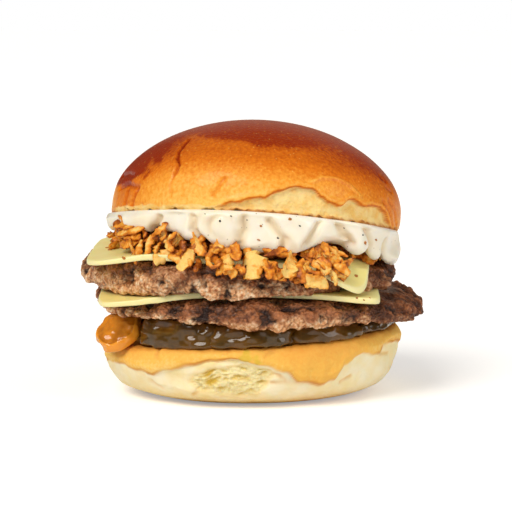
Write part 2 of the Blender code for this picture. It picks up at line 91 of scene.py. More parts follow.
def noise(points, size, seed):
    """Smooth noise from -1 to 1, whose lumps are about size across. A size for each axis stretches them."""
    scaled = np.asarray(points) / size
    cell = np.floor(scaled).astype(np.int64)
    along = scaled - cell
    along = along * along * (3 - 2 * along)
    total = np.zeros(scaled.shape[:-1])
    for corner in np.ndindex(2, 2, 2):
        weight = np.prod(np.where(np.array(corner) == 1, along, 1 - along), axis=-1)
        total += weight * lattice_value(*np.moveaxis(cell + corner, -1, 0), seed)
    return total


def fractal(points, size, seed, octaves=3, gain=0.5):
    """Noise with finer noise on it: each octave is half the size and gain times the height of the one before."""
    size = np.asarray(size)
    return sum(gain**octave * noise(points, size / 2**octave, seed + octave) for octave in range(octaves))


def ridges(points, size, seed, octaves=2, gain=0.5):
    """Noise folded into sharp ridges, 1 along them and down to -1 between."""
    return 1 - 2 * np.abs(fractal(points, size, seed, octaves, gain))


def drift(points, size, seed, step=1):
    """Three noises side by side, one for each axis, to push points about."""
    return np.stack([noise(points, size, seed + step * axis) for axis in range(3)], axis=-1)


def cells(points, size, seed):
    """The scattered centres of crumbs: for each point, how far the nearest and the next one are, and its own value."""
    scaled = np.asarray(points) / size
    home = np.floor(scaled).astype(np.int64)
    nearest = np.full(scaled.shape[:-1], 9.0)
    second, own = nearest.copy(), np.zeros(nearest.shape)
    for step in np.ndindex(3, 3, 3):
        cell = home + np.array(step) - 1
        corner = np.moveaxis(cell, -1, 0)
        scatter = np.stack([lattice_value(*corner, seed + axis) for axis in range(3)], axis=-1)
        away = np.linalg.norm(scaled - cell - 0.5 - 0.42 * scatter, axis=-1)
        closer = away < nearest
        second = np.where(closer, nearest, np.minimum(second, away))
        own = np.where(closer, 0.5 + 0.5 * lattice_value(*corner, seed + 3), own)
        nearest = np.minimum(nearest, away)
    return nearest, second, own


def bump(azimuth, at, width):
    """A smooth bump of height 1 at one azimuth, in degrees, that is gone about twice its width away."""
    away = (azimuth - at + 180) % 360 - 180
    return np.exp(-((away / width) ** 2))


def swell(azimuth, base, marks):
    """A base value with a bump of its own size and width added at each marked azimuth."""
    return base + sum(size * bump(azimuth, at, width) for at, size, width in marks)


def round_table(azimuth, table):
    """A value read round the clock from (azimuth, value) pairs, with smooth steps between them."""
    at, value = np.array(table, float).T
    at = np.concatenate([at[-1:] - 360, at, at[:1] + 360])
    value = np.concatenate([value[-1:], value, value[:1]])
    turned = (np.asarray(azimuth) - at[1]) % 360 + at[1]
    index = np.clip(np.searchsorted(at, turned, side="right") - 1, 0, len(at) - 2)
    along = smooth_step((turned - at[index]) / (at[index + 1] - at[index]))
    return value[index] * (1 - along) + value[index + 1] * along


def polar(x, y, centre=(0.0, 0.0)):
    """(radius, azimuth in degrees) of points seen from a centre."""
    away_x, away_y = x - centre[0], y - centre[1]
    return np.hypot(away_x, away_y), np.degrees(np.arctan2(away_y, away_x))


def round_points(azimuth, radius, centre=(0.0, 0.0)):
    """The x and y of points at that azimuth and radius from a centre."""
    angle = np.radians(azimuth)
    return centre[0] + radius * np.cos(angle), centre[1] + radius * np.sin(angle)


def near_line(azimuth, level, line, radius):
    """How far a point of a round wall is from a line drawn on it through (azimuth, level) pairs, in metres."""
    at = np.stack([np.radians(azimuth) * radius, level], axis=-1)
    best = np.full(at.shape[:-1], 1.0)
    for (azimuth_0, level_0), (azimuth_1, level_1) in zip(line, line[1:]):
        start = np.array([math.radians(azimuth_0) * radius, level_0])
        span = np.array([math.radians(azimuth_1) * radius, level_1]) - start
        share = np.clip(((at - start) @ span) / (span @ span), 0, 1)
        best = np.minimum(best, np.linalg.norm(at - start - share[..., None] * span, axis=-1))
    return best


def groove(distance, width):
    """1 on a line and 0 away from it, falling as a bell."""
    return np.exp(-((distance / width) ** 2))


# surfaces


@dataclass
class Shell:
    """A closed surface: its corners, its faces and the values that its material reads at each corner."""

    corners: np.ndarray
    faces: list
    values: dict = field(default_factory=dict)


def rounded(profile, rows):
    """A profile's corners cut off four times, a quarter from each end of a side, then read at that many rows."""
    line = np.array(profile, float)
    for _ in range(4):
        cut = np.stack([0.75 * line[:-1] + 0.25 * line[1:], 0.25 * line[:-1] + 0.75 * line[1:]], axis=1)
        line = np.concatenate([line[:1], cut.reshape(-1, line.shape[1])[1:-1], line[-1:]])
    at = np.linspace(0, len(line) - 1, rows)
    return [np.interp(at, np.arange(len(line)), column)[:, None] for column in line.T]


def turns(columns):
    """The azimuths of a grid's columns, once round."""
    return np.linspace(0, 360, columns, endpoint=False)[None, :]


def facing(points):
    """Unit normals of a closed grid: the cross product of its steps round and along."""
    around = np.roll(points, -1, axis=1) - np.roll(points, 1, axis=1)
    normal = np.cross(around, np.gradient(points, axis=0))
    return normal / np.maximum(np.linalg.norm(normal, axis=2, keepdims=True), 1e-12)


def raised(points, height):
    """The points moved along their normals by a height each."""
    return points + facing(points) * height[..., None]


def shell(points, **values):
    """The shell of a grid of points that wraps round its columns and closes to a point at its first and last row."""
    rows, columns = points.shape[:2]
    ring = np.arange((rows - 2) * columns).reshape(rows - 2, columns)
    after = np.roll(ring, -1, axis=1)
    foot, head = np.full(columns, ring.size), np.full(columns, ring.size + 1)
    quads = np.stack([ring[:-1], after[:-1], after[1:], ring[1:]], axis=-1).reshape(-1, 4)
    low = np.stack([foot, after[0], ring[0]], axis=-1)
    high = np.stack([ring[-1], after[-1], head], axis=-1)

    def flat(grid):
        ends = grid[[0, -1]].mean(axis=1)
        return np.concatenate([grid[1:-1].reshape(-1, *grid.shape[2:]), ends])

    spread = {name: flat(np.broadcast_to(value, (rows, columns))) for name, value in values.items()}
    return Shell(flat(points), quads.tolist() + low.tolist() + high.tolist(), spread)


def add_piece(name, shells, finish, *nodes):
    """Makes shells one object with smooth faces, hangs it from the root, and hides the nodes that it stands for."""
    starts = np.cumsum([0] + [len(part.corners) for part in shells])
    faces = [[corner + int(start) for corner in face] for part, start in zip(shells, starts) for face in part.faces]
    mesh = bpy.data.meshes.new(name)
    mesh.from_pydata(np.concatenate([part.corners for part in shells]), [], faces)
    for value in shells[0].values:
        stored = mesh.attributes.new(value, "FLOAT", "POINT")
        stored.data.foreach_set("value", np.concatenate([part.values[value] for part in shells]).astype(np.float32))
    mesh.materials.append(finish)
    mesh.shade_smooth()
    mesh.update()
    piece = bpy.data.objects.new(name, mesh)
    bpy.context.scene.collection.objects.link(piece)
    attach(piece, "root")
    if nodes:
        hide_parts(*nodes)
    return piece


# the camera's rays


def camera_axes(view):
    """The camera's eye and its right, up and forward directions."""
    tilt = view.elevation
    back = np.array([0, -math.cos(tilt), math.sin(tilt)])
    return AIM + view.distance * back, np.array([1.0, 0, 0]), np.array([0, math.sin(tilt), math.cos(tilt)]), -back


def ray_through(view, pixel_x, pixel_y):
    """The eye and the directions that pass through pixels of the photograph's frame."""
    eye, right, up, forward = camera_axes(view)
    half = SENSOR / 2 / (view.lens * MM)
    across = (np.asarray(pixel_x, float) / (IMAGE_SIZE / 2) - 1) * half
    rise = (1 - np.asarray(pixel_y, float) / (IMAGE_SIZE / 2)) * half
    return eye, forward + across[..., None] * right + rise[..., None] * up


def surface_tree(piece):
    """A piece's faces, ready for rays."""
    mesh = piece.data
    faces = [tuple(face.vertices) for face in mesh.polygons]
    return BVHTree.FromPolygons([vertex.co for vertex in mesh.vertices], faces)


def seen_on(tree, view, pixel_x, pixel_y):
    """The first point of a piece, and its normal there, behind a pixel. Fails where the pixel misses the piece."""
    eye, aim = ray_through(view, pixel_x, pixel_y)
    place, normal, _, _ = tree.ray_cast(Vector(eye), Vector(aim).normalized())
    if place is None:
        raise RuntimeError(f"nothing behind pixel {pixel_x}, {pixel_y}")
    return np.array(place), np.array(normal)


# materials


def new_finish(name):
    """A material with no nodes yet, and its node tree."""
    made = bpy.data.materials.new(name)
    made.use_nodes = True
    made.node_tree.nodes.clear()
    return made, made.node_tree


def add_node(tree, kind, inputs=None, stops=None, **settings):
    """Adds a node and gives its outputs. A socket given as an input is linked, else it is set. Stops fill a ramp."""
    made = tree.nodes.new("ShaderNode" + kind)
    for name, value in settings.items():
        setattr(made, name, value)
    for key, value in (inputs or {}).items():
        if isinstance(value, bpy.types.NodeSocket):
            tree.links.new(value, made.inputs[key])
        else:
            made.inputs[key].default_value = value
    if stops:
        ramp = made.color_ramp
        while len(ramp.elements) < len(stops):
            ramp.elements.new(1)
        for element, (place, colour) in zip(ramp.elements, stops):
            element.position = place
            element.color = (*colour, 1)
    return made.outputs


def rgba(colour):
    """A colour property or triple with full alpha."""
    return (*colour, 1)


def brioche_crust(colours):
    """Brioche glazed with egg and baked: mahogany where the oven was hottest, gold lower down, pale where torn."""
    made, tree = new_finish("baked brioche crust")
    place = add_node(tree, "TexCoord")["Object"]
    # besides the browning, this carries painted shade under the fold and in the creases, and a painted highlight on
    # the flap's edge
    toast = add_node(tree, "Attribute", attribute_name="toast")["Fac"]
    torn = add_node(tree, "Attribute", attribute_name="torn")["Fac"]
    seam = add_node(tree, "Attribute", attribute_name="seam")["Fac"]
    # blotches 12 mm across and fine flecks 1.1 mm across, as the glaze browns unevenly
    blotch = add_node(tree, "TexNoise", {"Vector": place, "Scale": 1 / 0.012, "Detail": 4.0})["Fac"]
    fleck = add_node(tree, "TexNoise", {"Vector": place, "Scale": 1 / 0.0011, "Detail": 3.0})["Fac"]
    shift = add_node(tree, "Math", {0: blotch, 1: 0.16, 2: -0.08}, operation="MULTIPLY_ADD")[0]
    speck = add_node(tree, "Math", {0: fleck, 1: 0.6, 2: -0.3}, operation="MULTIPLY_ADD")[0]
    uneven = add_node(tree, "Math", {0: shift, 1: speck}, operation="ADD")[0]
    browned = add_node(tree, "Math", {0: toast, 1: uneven}, operation="ADD")[0]
    crust = add_node(tree, "ValToRGB", {"Fac": browned}, stops=(
        (0.0, colours.crust_pale), (0.25, colours.crust_gold), (0.52, colours.crust_orange),
        (0.78, colours.crust_brown), (0.97, colours.crust_dark),
    ))["Color"]
    # painted glints: pale pinpricks half a millimetre wide
    bubble = add_node(tree, "TexVoronoi", {"Vector": place, "Scale": 1 / 0.0024})["Distance"]
    dot = add_node(tree, "MapRange", {
        "Value": bubble, "From Min": 0.06, "From Max": 0.15, "To Min": 0.4, "To Max": 0.0,
    })["Result"]
    glazed = add_node(tree, "Mix", {
        "Factor": dot, "A": crust, "B": rgba(colours.crust_pale),
    }, data_type="RGBA")["Result"]
    # torn bread: pale and soft, warmer in patches 4 mm across, with pores about 1 mm across
    warm = add_node(tree, "TexNoise", {"Vector": place, "Scale": 1 / 0.004, "Detail": 4.0})["Fac"]
    crumb = add_node(tree, "ValToRGB", {"Fac": warm}, stops=(
        (0.3, colours.crumb_deep), (0.6, colours.crumb),
    ))["Color"]
    torn_mix = add_node(tree, "Mix", {"Factor": torn, "A": glazed, "B": crumb}, data_type="RGBA")["Result"]
    colour = add_node(tree, "Mix", {
        "Factor": seam, "A": torn_mix, "B": rgba(colours.crust_seam),
    }, data_type="RGBA")["Result"]
    roughness = add_node(tree, "MapRange", {"Value": torn, "To Min": 0.4, "To Max": 0.8})["Result"]
    pore = add_node(tree, "TexVoronoi", {"Vector": place, "Scale": 1 / 0.0011})["Distance"]
    skin = add_node(tree, "Bump", {"Height": fleck, "Strength": 0.8, "Distance": 0.35 * MM})
    grain = add_node(tree, "Bump", {
        "Height": pore, "Strength": torn, "Distance": 0.25 * MM, "Normal": skin["Normal"],
    })
    shader = add_node(tree, "BsdfPrincipled", {
        "Base Color": colour, "Roughness": roughness, "Normal": grain["Normal"], "IOR": 1.45,
        "Specular IOR Level": 0.15, "Coat Weight": 0.1, "Coat Roughness": 0.15, "Subsurface Weight": 0.1,
        "Subsurface Radius": (1.0, 0.4, 0.1), "Subsurface Scale": 1.5 * MM,
    })
    add_node(tree, "OutputMaterial", {"Surface": shader["BSDF"]})
    return made


def brioche_heel(colours):
    """The bottom of the bun: golden skin, smooth cream skin where it never browned, and open crumb where it tore."""
    made, tree = new_finish("brioche heel skin and crumb")
    place = add_node(tree, "TexCoord")["Object"]
    # besides the browning, this carries the painted shadow under the fold of skin
    toast = add_node(tree, "Attribute", attribute_name="toast")["Fac"]
    torn = add_node(tree, "Attribute", attribute_name="torn")["Fac"]
    opened = add_node(tree, "Attribute", attribute_name="open")["Fac"]
    # deep is painted shade between the crumb's strands; seam carries the toasted lines and also painted shadow along
    # the fold and in the creases
    deep = add_node(tree, "Attribute", attribute_name="deep")["Fac"]
    seam = add_node(tree, "Attribute", attribute_name="seam")["Fac"]
    smear = add_node(tree, "Attribute", attribute_name="smear")["Fac"]
    blotch = add_node(tree, "TexNoise", {"Vector": place, "Scale": 1 / 0.009, "Detail": 5.0})["Fac"]
    fleck = add_node(tree, "TexNoise", {"Vector": place, "Scale": 1 / 0.001, "Detail": 3.0})["Fac"]
    shift = add_node(tree, "Math", {0: blotch, 1: 0.35, 2: -0.175}, operation="MULTIPLY_ADD")[0]
    speck = add_node(tree, "Math", {0: fleck, 1: 0.7, 2: -0.35}, operation="MULTIPLY_ADD")[0]
    uneven = add_node(tree, "Math", {0: shift, 1: speck}, operation="ADD")[0]
    browned = add_node(tree, "Math", {0: toast, 1: uneven}, operation="ADD")[0]
    skin = add_node(tree, "ValToRGB", {"Fac": browned}, stops=(
        (0.0, colours.heel_pale), (0.45, colours.heel_gold), (1.0, colours.heel_toast),
    ))["Color"]
    cream = add_node(tree, "ValToRGB", {"Fac": blotch}, stops=(
        (0.3, colours.heel_cream_deep), (0.6, colours.heel_cream),
    ))["Color"]
    crumb = add_node(tree, "Mix", {
        "Factor": deep, "A": rgba(colours.heel_crumb), "B": rgba(colours.heel_crumb_deep),
    }, data_type="RGBA")["Result"]
    colour = skin
    for amount, over in (
        (torn, cream),
        (opened, crumb),
        (smear, rgba(colours.heel_drip)),
        (seam, rgba(colours.heel_seam)),
    ):
        colour = add_node(tree, "Mix", {"Factor": amount, "A": colour, "B": over}, data_type="RGBA")["Result"]
    pore = add_node(tree, "TexVoronoi", {"Vector": place, "Scale": 1 / 0.0013})["Distance"]
    relief = add_node(tree, "Bump", {"Height": fleck, "Strength": 0.6, "Distance": 0.3 * MM})
    grain = add_node(tree, "Bump", {
        "Height": pore, "Strength": opened, "Distance": 0.5 * MM, "Normal": relief["Normal"],
    })
    shader = add_node(tree, "BsdfPrincipled", {
        "Base Color": colour, "Roughness": 0.6, "Normal": grain["Normal"], "IOR": 1.45,
        "Specular IOR Level": 0.3, "Subsurface Weight": 0.2, "Subsurface Radius": (1.0, 0.6, 0.25),
        "Subsurface Scale": 2.0 * MM,
    })
    add_node(tree, "OutputMaterial", {"Surface": shader["BSDF"]})
    return made


def seared_beef(colours):
    """Ground beef pressed on a hot griddle: dark crust on its faces, tan crumbs, and painted shade in the cracks at
    its rim.
    """
    made, tree = new_finish("seared ground beef")
    place = add_node(tree, "TexCoord")["Object"]
    sear = add_node(tree, "Attribute", attribute_name="sear")["Fac"]
    tone = add_node(tree, "Attribute", attribute_name="tone")["Fac"]
    pit = add_node(tree, "Attribute", attribute_name="pit")["Fac"]
    # crumbs about 1 mm across, with finer fibres on them
    fibre = add_node(tree, "TexNoise", {"Vector": place, "Scale": 1 / 0.0009, "Detail": 4.0})["Fac"]
    grain = add_node(tree, "TexVoronoi", {"Vector": place, "Scale": 1 / 0.0012})["Distance"]
    height = add_node(tree, "Math", {0: grain, 1: -0.8, 2: fibre}, operation="MULTIPLY_ADD")[0]
    # raised crumbs are painted lighter and the hollows between them darker, as painted light and shade
    lit = add_node(tree, "Math", {0: height, 1: 0.7, 2: tone}, operation="MULTIPLY_ADD")[0]
    mixed = add_node(tree, "Math", {0: lit, 1: 0.15}, operation="ADD")[0]
    centred = add_node(tree, "Math", {0: mixed, 1: 0.25}, operation="SUBTRACT")[0]
    crumb = add_node(tree, "ValToRGB", {"Fac": centred}, stops=(
        (0.15, colours.beef_brown), (0.5, colours.beef_tan), (0.85, colours.beef_pale),
    ))["Color"]
    crust = add_node(tree, "ValToRGB", {"Fac": centred}, stops=(
        (0.1, colours.beef_char), (0.9, colours.beef_sear),
    ))["Color"]
    seared = add_node(tree, "Mix", {"Factor": sear, "A": crumb, "B": crust}, data_type="RGBA")["Result"]
    # the pit mix paints shade into the cracks and hollows
    colour = add_node(tree, "Mix", {
        "Factor": pit, "A": seared, "B": rgba(colours.beef_crack),
    }, data_type="RGBA")["Result"]
    relief = add_node(tree, "Bump", {"Height": height, "Strength": 1.0, "Distance": 0.75 * MM})
    shader = add_node(tree, "BsdfPrincipled", {
        "Base Color": colour, "Roughness": 0.45, "Normal": relief["Normal"], "IOR": 1.45,
        "Specular IOR Level": 0.4, "Coat Weight": 0.12, "Coat Roughness": 0.2, "Subsurface Weight": 0.08,
        "Subsurface Radius": (1.0, 0.35, 0.2), "Subsurface Scale": 1.0 * MM,
    })
    add_node(tree, "OutputMaterial", {"Surface": shader["BSDF"]})
    return made


def sliced_cheese(colours):
    """Mild pressed cheese: pale yellow, waxy, a little see-through at its thin edge."""
    made, tree = new_finish("sliced mild cheese")
    place = add_node(tree, "TexCoord")["Object"]
    edge = add_node(tree, "Attribute", attribute_name="edge")["Fac"]
    cloud = add_node(tree, "TexNoise", {"Vector": place, "Scale": 1 / 0.014, "Detail": 4.0})["Fac"]
    body = add_node(tree, "ValToRGB", {"Fac": cloud}, stops=(
        (0.3, colours.cheese_deep), (0.65, colours.cheese),
    ))["Color"]
    # the cut edge is painted paler, as light showing through the thin edge
    colour = add_node(tree, "Mix", {
        "Factor": edge, "A": body, "B": rgba(colours.cheese_edge),
    }, data_type="RGBA")["Result"]
    # the knife leaves a fine grain, about 0.8 mm
    grain = add_node(tree, "TexNoise", {"Vector": place, "Scale": 1 / 0.0008, "Detail": 2.0})["Fac"]
    relief = add_node(tree, "Bump", {"Height": grain, "Strength": 0.15, "Distance": 0.15 * MM})
    shader = add_node(tree, "BsdfPrincipled", {
        "Base Color": colour, "Roughness": 0.38, "Normal": relief["Normal"], "IOR": 1.45,
        "Subsurface Weight": 0.35, "Subsurface Radius": (1.0, 0.75, 0.35), "Subsurface Scale": 2.0 * MM,
    })
    add_node(tree, "OutputMaterial", {"Surface": shader["BSDF"]})
    return made


def pickled_cucumber(name, deep, light, rim):
    """Cucumber in brine: wet, dark and a little see-through, so light picks out each wrinkle."""
    made, tree = new_finish(name)
    place = add_node(tree, "TexCoord")["Object"]
    edge = add_node(tree, "Attribute", attribute_name="edge")["Fac"]
    cloud = add_node(tree, "TexNoise", {"Vector": place, "Scale": 1 / 0.006, "Detail": 4.0})["Fac"]
    flesh = add_node(tree, "ValToRGB", {"Fac": cloud}, stops=((0.35, deep), (0.65, light)))["Color"]
    colour = add_node(tree, "Mix", {"Factor": edge, "A": flesh, "B": rgba(rim)}, data_type="RGBA")["Result"]
    # brine gathers in wrinkles about 3 mm apart
    wrinkle = add_node(tree, "TexNoise", {"Vector": place, "Scale": 1 / 0.004, "Detail": 0.5})["Fac"]
    relief = add_node(tree, "Bump", {"Height": wrinkle, "Strength": 0.5, "Distance": 0.9 * MM})
    shader = add_node(tree, "BsdfPrincipled", {
        "Base Color": colour, "Roughness": 0.35, "Normal": relief["Normal"], "IOR": 1.4,
        "Specular IOR Level": 0.1, "Coat Weight": 1.0, "Coat Roughness": 0.1, "Subsurface Weight": 0.3,
        "Subsurface Radius": (1.0, 0.6, 0.15), "Subsurface Scale": 2.0 * MM,
    })
    add_node(tree, "OutputMaterial", {"Surface": shader["BSDF"]})
    return made


def fried_onion(colours):
    """Onion dredged in flour and fried: pale straw faces, golden body, edges and blisters fried dark, and painted
    shade in the heap's hollows.
    """
    made, tree = new_finish("crispy fried onion")
    place = add_node(tree, "TexCoord")["Object"]
    # browning from frying plus painted shade: the heap's core, the hollows of each flake's crumple and the flakes set
    # deeper
    brown = add_node(tree, "Attribute", attribute_name="brown")["Fac"]
    blister = add_node(tree, "TexNoise", {"Vector": place, "Scale": 1 / 0.0016, "Detail": 4.0})["Fac"]
    fried = add_node(tree, "Math", {0: blister, 1: 1.1, 2: brown}, operation="MULTIPLY_ADD")[0]
    centred = add_node(tree, "Math", {0: fried, 1: 0.55}, operation="SUBTRACT")[0]
    colour = add_node(tree, "ValToRGB", {"Fac": centred}, stops=(
        (0.05, colours.onion_straw), (0.35, colours.onion_gold), (0.62, colours.onion_brown),
        (0.9, colours.onion_dark),
    ))["Color"]
    relief = add_node(tree, "Bump", {"Height": blister, "Strength": 1.0, "Distance": 0.7 * MM})
    shader = add_node(tree, "BsdfPrincipled", {
        "Base Color": colour, "Roughness": 0.42, "Normal": relief["Normal"], "IOR": 1.45,
        "Specular IOR Level": 0.3, "Coat Weight": 0.12, "Coat Roughness": 0.2, "Subsurface Weight": 0.2,
        "Subsurface Radius": (1.0, 0.5, 0.15), "Subsurface Scale": 1.0 * MM,
    })
    add_node(tree, "OutputMaterial", {"Surface": shader["BSDF"]})
    return made


def cream_sauce(colours):
    """A thick egg and cream dressing: ivory, soft gloss, with light that soaks into it."""
    made, tree = new_finish("thick cream sauce")
    place = add_node(tree, "TexCoord")["Object"]
    cloud = add_node(tree, "TexNoise", {"Vector": place, "Scale": 1 / 0.012, "Detail": 4.0})["Fac"]
    cream = add_node(tree, "ValToRGB", {"Fac": cloud}, stops=(
        (0.3, colours.sauce_deep), (0.7, colours.sauce),
    ))["Color"]
    # the crease mix paints shade into the creases, the swirl's grooves and the troughs of the folds
    crease = add_node(tree, "Attribute", attribute_name="crease")["Fac"]
    body = add_node(tree, "Mix", {
        "Factor": crease, "A": cream, "B": rgba(colours.sauce_fold),
    }, data_type="RGBA")["Result"]
    # ground herbs and spice, specks well under half a millimetre, a few to a square centimetre
    speck = add_node(tree, "TexVoronoi", {"Vector": place, "Scale": 1 / 0.0032})["Distance"]
    dot = add_node(tree, "MapRange", {
        "Value": speck, "From Min": 0.05, "From Max": 0.09, "To Min": 0.6, "To Max": 0.0,
    })["Result"]
    colour = add_node(tree, "Mix", {
        "Factor": dot, "A": body, "B": rgba(colours.spice),
    }, data_type="RGBA")["Result"]
    ripple = add_node(tree, "TexNoise", {"Vector": place, "Scale": 1 / 0.004, "Detail": 2.0})["Fac"]
    relief = add_node(tree, "Bump", {"Height": ripple, "Strength": 0.3, "Distance": 0.5 * MM})
    shader = add_node(tree, "BsdfPrincipled", {
        "Base Color": colour, "Roughness": 0.3, "Normal": relief["Normal"], "IOR": 1.45, "Coat Weight": 0.2,
        "Coat Roughness": 0.15, "Subsurface Weight": 0.4, "Subsurface Radius": (1.0, 0.8, 0.5),
        "Subsurface Scale": 3.0 * MM,
    })
    add_node(tree, "OutputMaterial", {"Surface": shader["BSDF"]})
    return made


def plain_finish(name, colour, roughness):
    """Something too small to show a pattern, such as a peppercorn chip, with only a grain to break its gloss."""
    made, tree = new_finish(name)
    place = add_node(tree, "TexCoord")["Object"]
    grain = add_node(tree, "TexNoise", {"Vector": place, "Scale": 1 / 0.0005})["Fac"]
    shade = add_node(tree, "ValToRGB", {"Fac": grain}, stops=(
        (0.3, tuple(0.6 * value for value in colour)), (0.7, tuple(colour)),
    ))["Color"]
    shader = add_node(tree, "BsdfPrincipled", {"Base Color": shade, "Roughness": roughness})
    add_node(tree, "OutputMaterial", {"Surface": shader["BSDF"]})
    return made


def light_table(colours):
    """A white table lit from below, as product photographs use: it looks almost white and holds a soft shadow."""
    made, tree = new_finish("white light table")
    seen = add_node(tree, "LightPath")["Is Camera Ray"]
    glow = add_node(tree, "MapRange", {"Value": seen, "To Min": 0.0, "To Max": 0.36})["Result"]
    place = add_node(tree, "TexCoord")["Object"]
    haze = add_node(tree, "TexNoise", {"Vector": place, "Scale": 1 / 0.5})["Fac"]
    shade = add_node(tree, "ValToRGB", {"Fac": haze}, stops=(
        (0.3, tuple(0.98 * value for value in colours.floor)), (0.7, tuple(colours.floor)),
    ))["Color"]
    shader = add_node(tree, "BsdfPrincipled", {
        "Base Color": shade, "Roughness": 0.9, "Emission Color": rgba(colours.floor),
        "Emission Strength": glow,
    })
    add_node(tree, "OutputMaterial", {"Surface": shader["BSDF"]})
    return made


# the heel

HEEL_SLOPE = 0.05
HEEL_PROFILE = (
    (0, 0), (0.35, 0), (0.65, 0), (0.735, 0.035), (0.84, 0.13), (0.925, 0.28), (0.975, 0.45), (1.0, 0.62),
    (1.0, 0.78), (0.996, 0.86), (0.988, 0.92), (0.972, 0.965), (0.95, 0.99), (0.92, 1), (0.55, 1), (0, 1),
)
HEEL_FOLD = (
    (5, 15 * MM), (60, 12 * MM), (110, 15 * MM), (150, 10 * MM), (183, 13 * MM), (211, 14.6 * MM),
    (224, 12.8 * MM), (229, 11.9 * MM), (236, 14 * MM), (246, 16.6 * MM), (255, 17.9 * MM), (262, 18.4 * MM),
    (274, 15.9 * MM), (283, 13.3 * MM), (289, 9.2 * MM), (299, 8.2 * MM), (304, 9.8 * MM), (308, 13.9 * MM),
    (315, 15.7 * MM), (327, 15 * MM), (334, 17.1 * MM),
)
HEEL_FOLD_DEPTH = 1.5 * MM
HEEL_RIM_RISE = 1.2 * MM
HEEL_OPENINGS = ((264, 18, 10.2 * MM), (100, 20, 8.5 * MM), (24, 13, 9 * MM))
HEEL_CREASES = (
    ((277, 9.4 * MM), (284, 9.2 * MM), (291, 8.8 * MM)),
    ((279, 12 * MM), (283, 10 * MM)),
    ((328, 15.9 * MM), (335, 17.2 * MM), (344, 17.6 * MM)),
    ((329, 14.3 * MM), (337, 13.4 * MM)),
    ((309, 7.3 * MM), (313, 9 * MM)),
    ((220, 12.5 * MM), (224, 10.9 * MM), (229, 7.7 * MM), (232, 6.7 * MM)),
    ((245, 5 * MM), (250, 7.1 * MM)),
    ((231, 20.8 * MM), (232, 19 * MM), (233, 17 * MM)),
    ((259, 19.2 * MM), (262, 19.8 * MM), (262.5, 22 * MM)),
    ((275, 17.8 * MM), (277, 19 * MM), (280, 20.9 * MM)),
    ((40, 15 * MM), (50, 13 * MM), (57, 13.6 * MM)),
    ((120, 13 * MM), (131, 10 * MM), (139, 10.6 * MM)),
    ((160, 12 * MM), (171, 9 * MM), (176, 6 * MM)),
)
HEEL_SMEAR = (268, 17.8 * MM)


def heel_top(bun, x):
    """The height of the heel's cut face, which rises to the right."""
    return bun.heel_height + HEEL_SLOPE * x


def rim_rise(x, y):
    """How far the heel's cut face curls up towards its rim."""
    return HEEL_RIM_RISE * smooth_step((np.hypot(x, y) - 48.3 * MM) / (1.8 * MM))


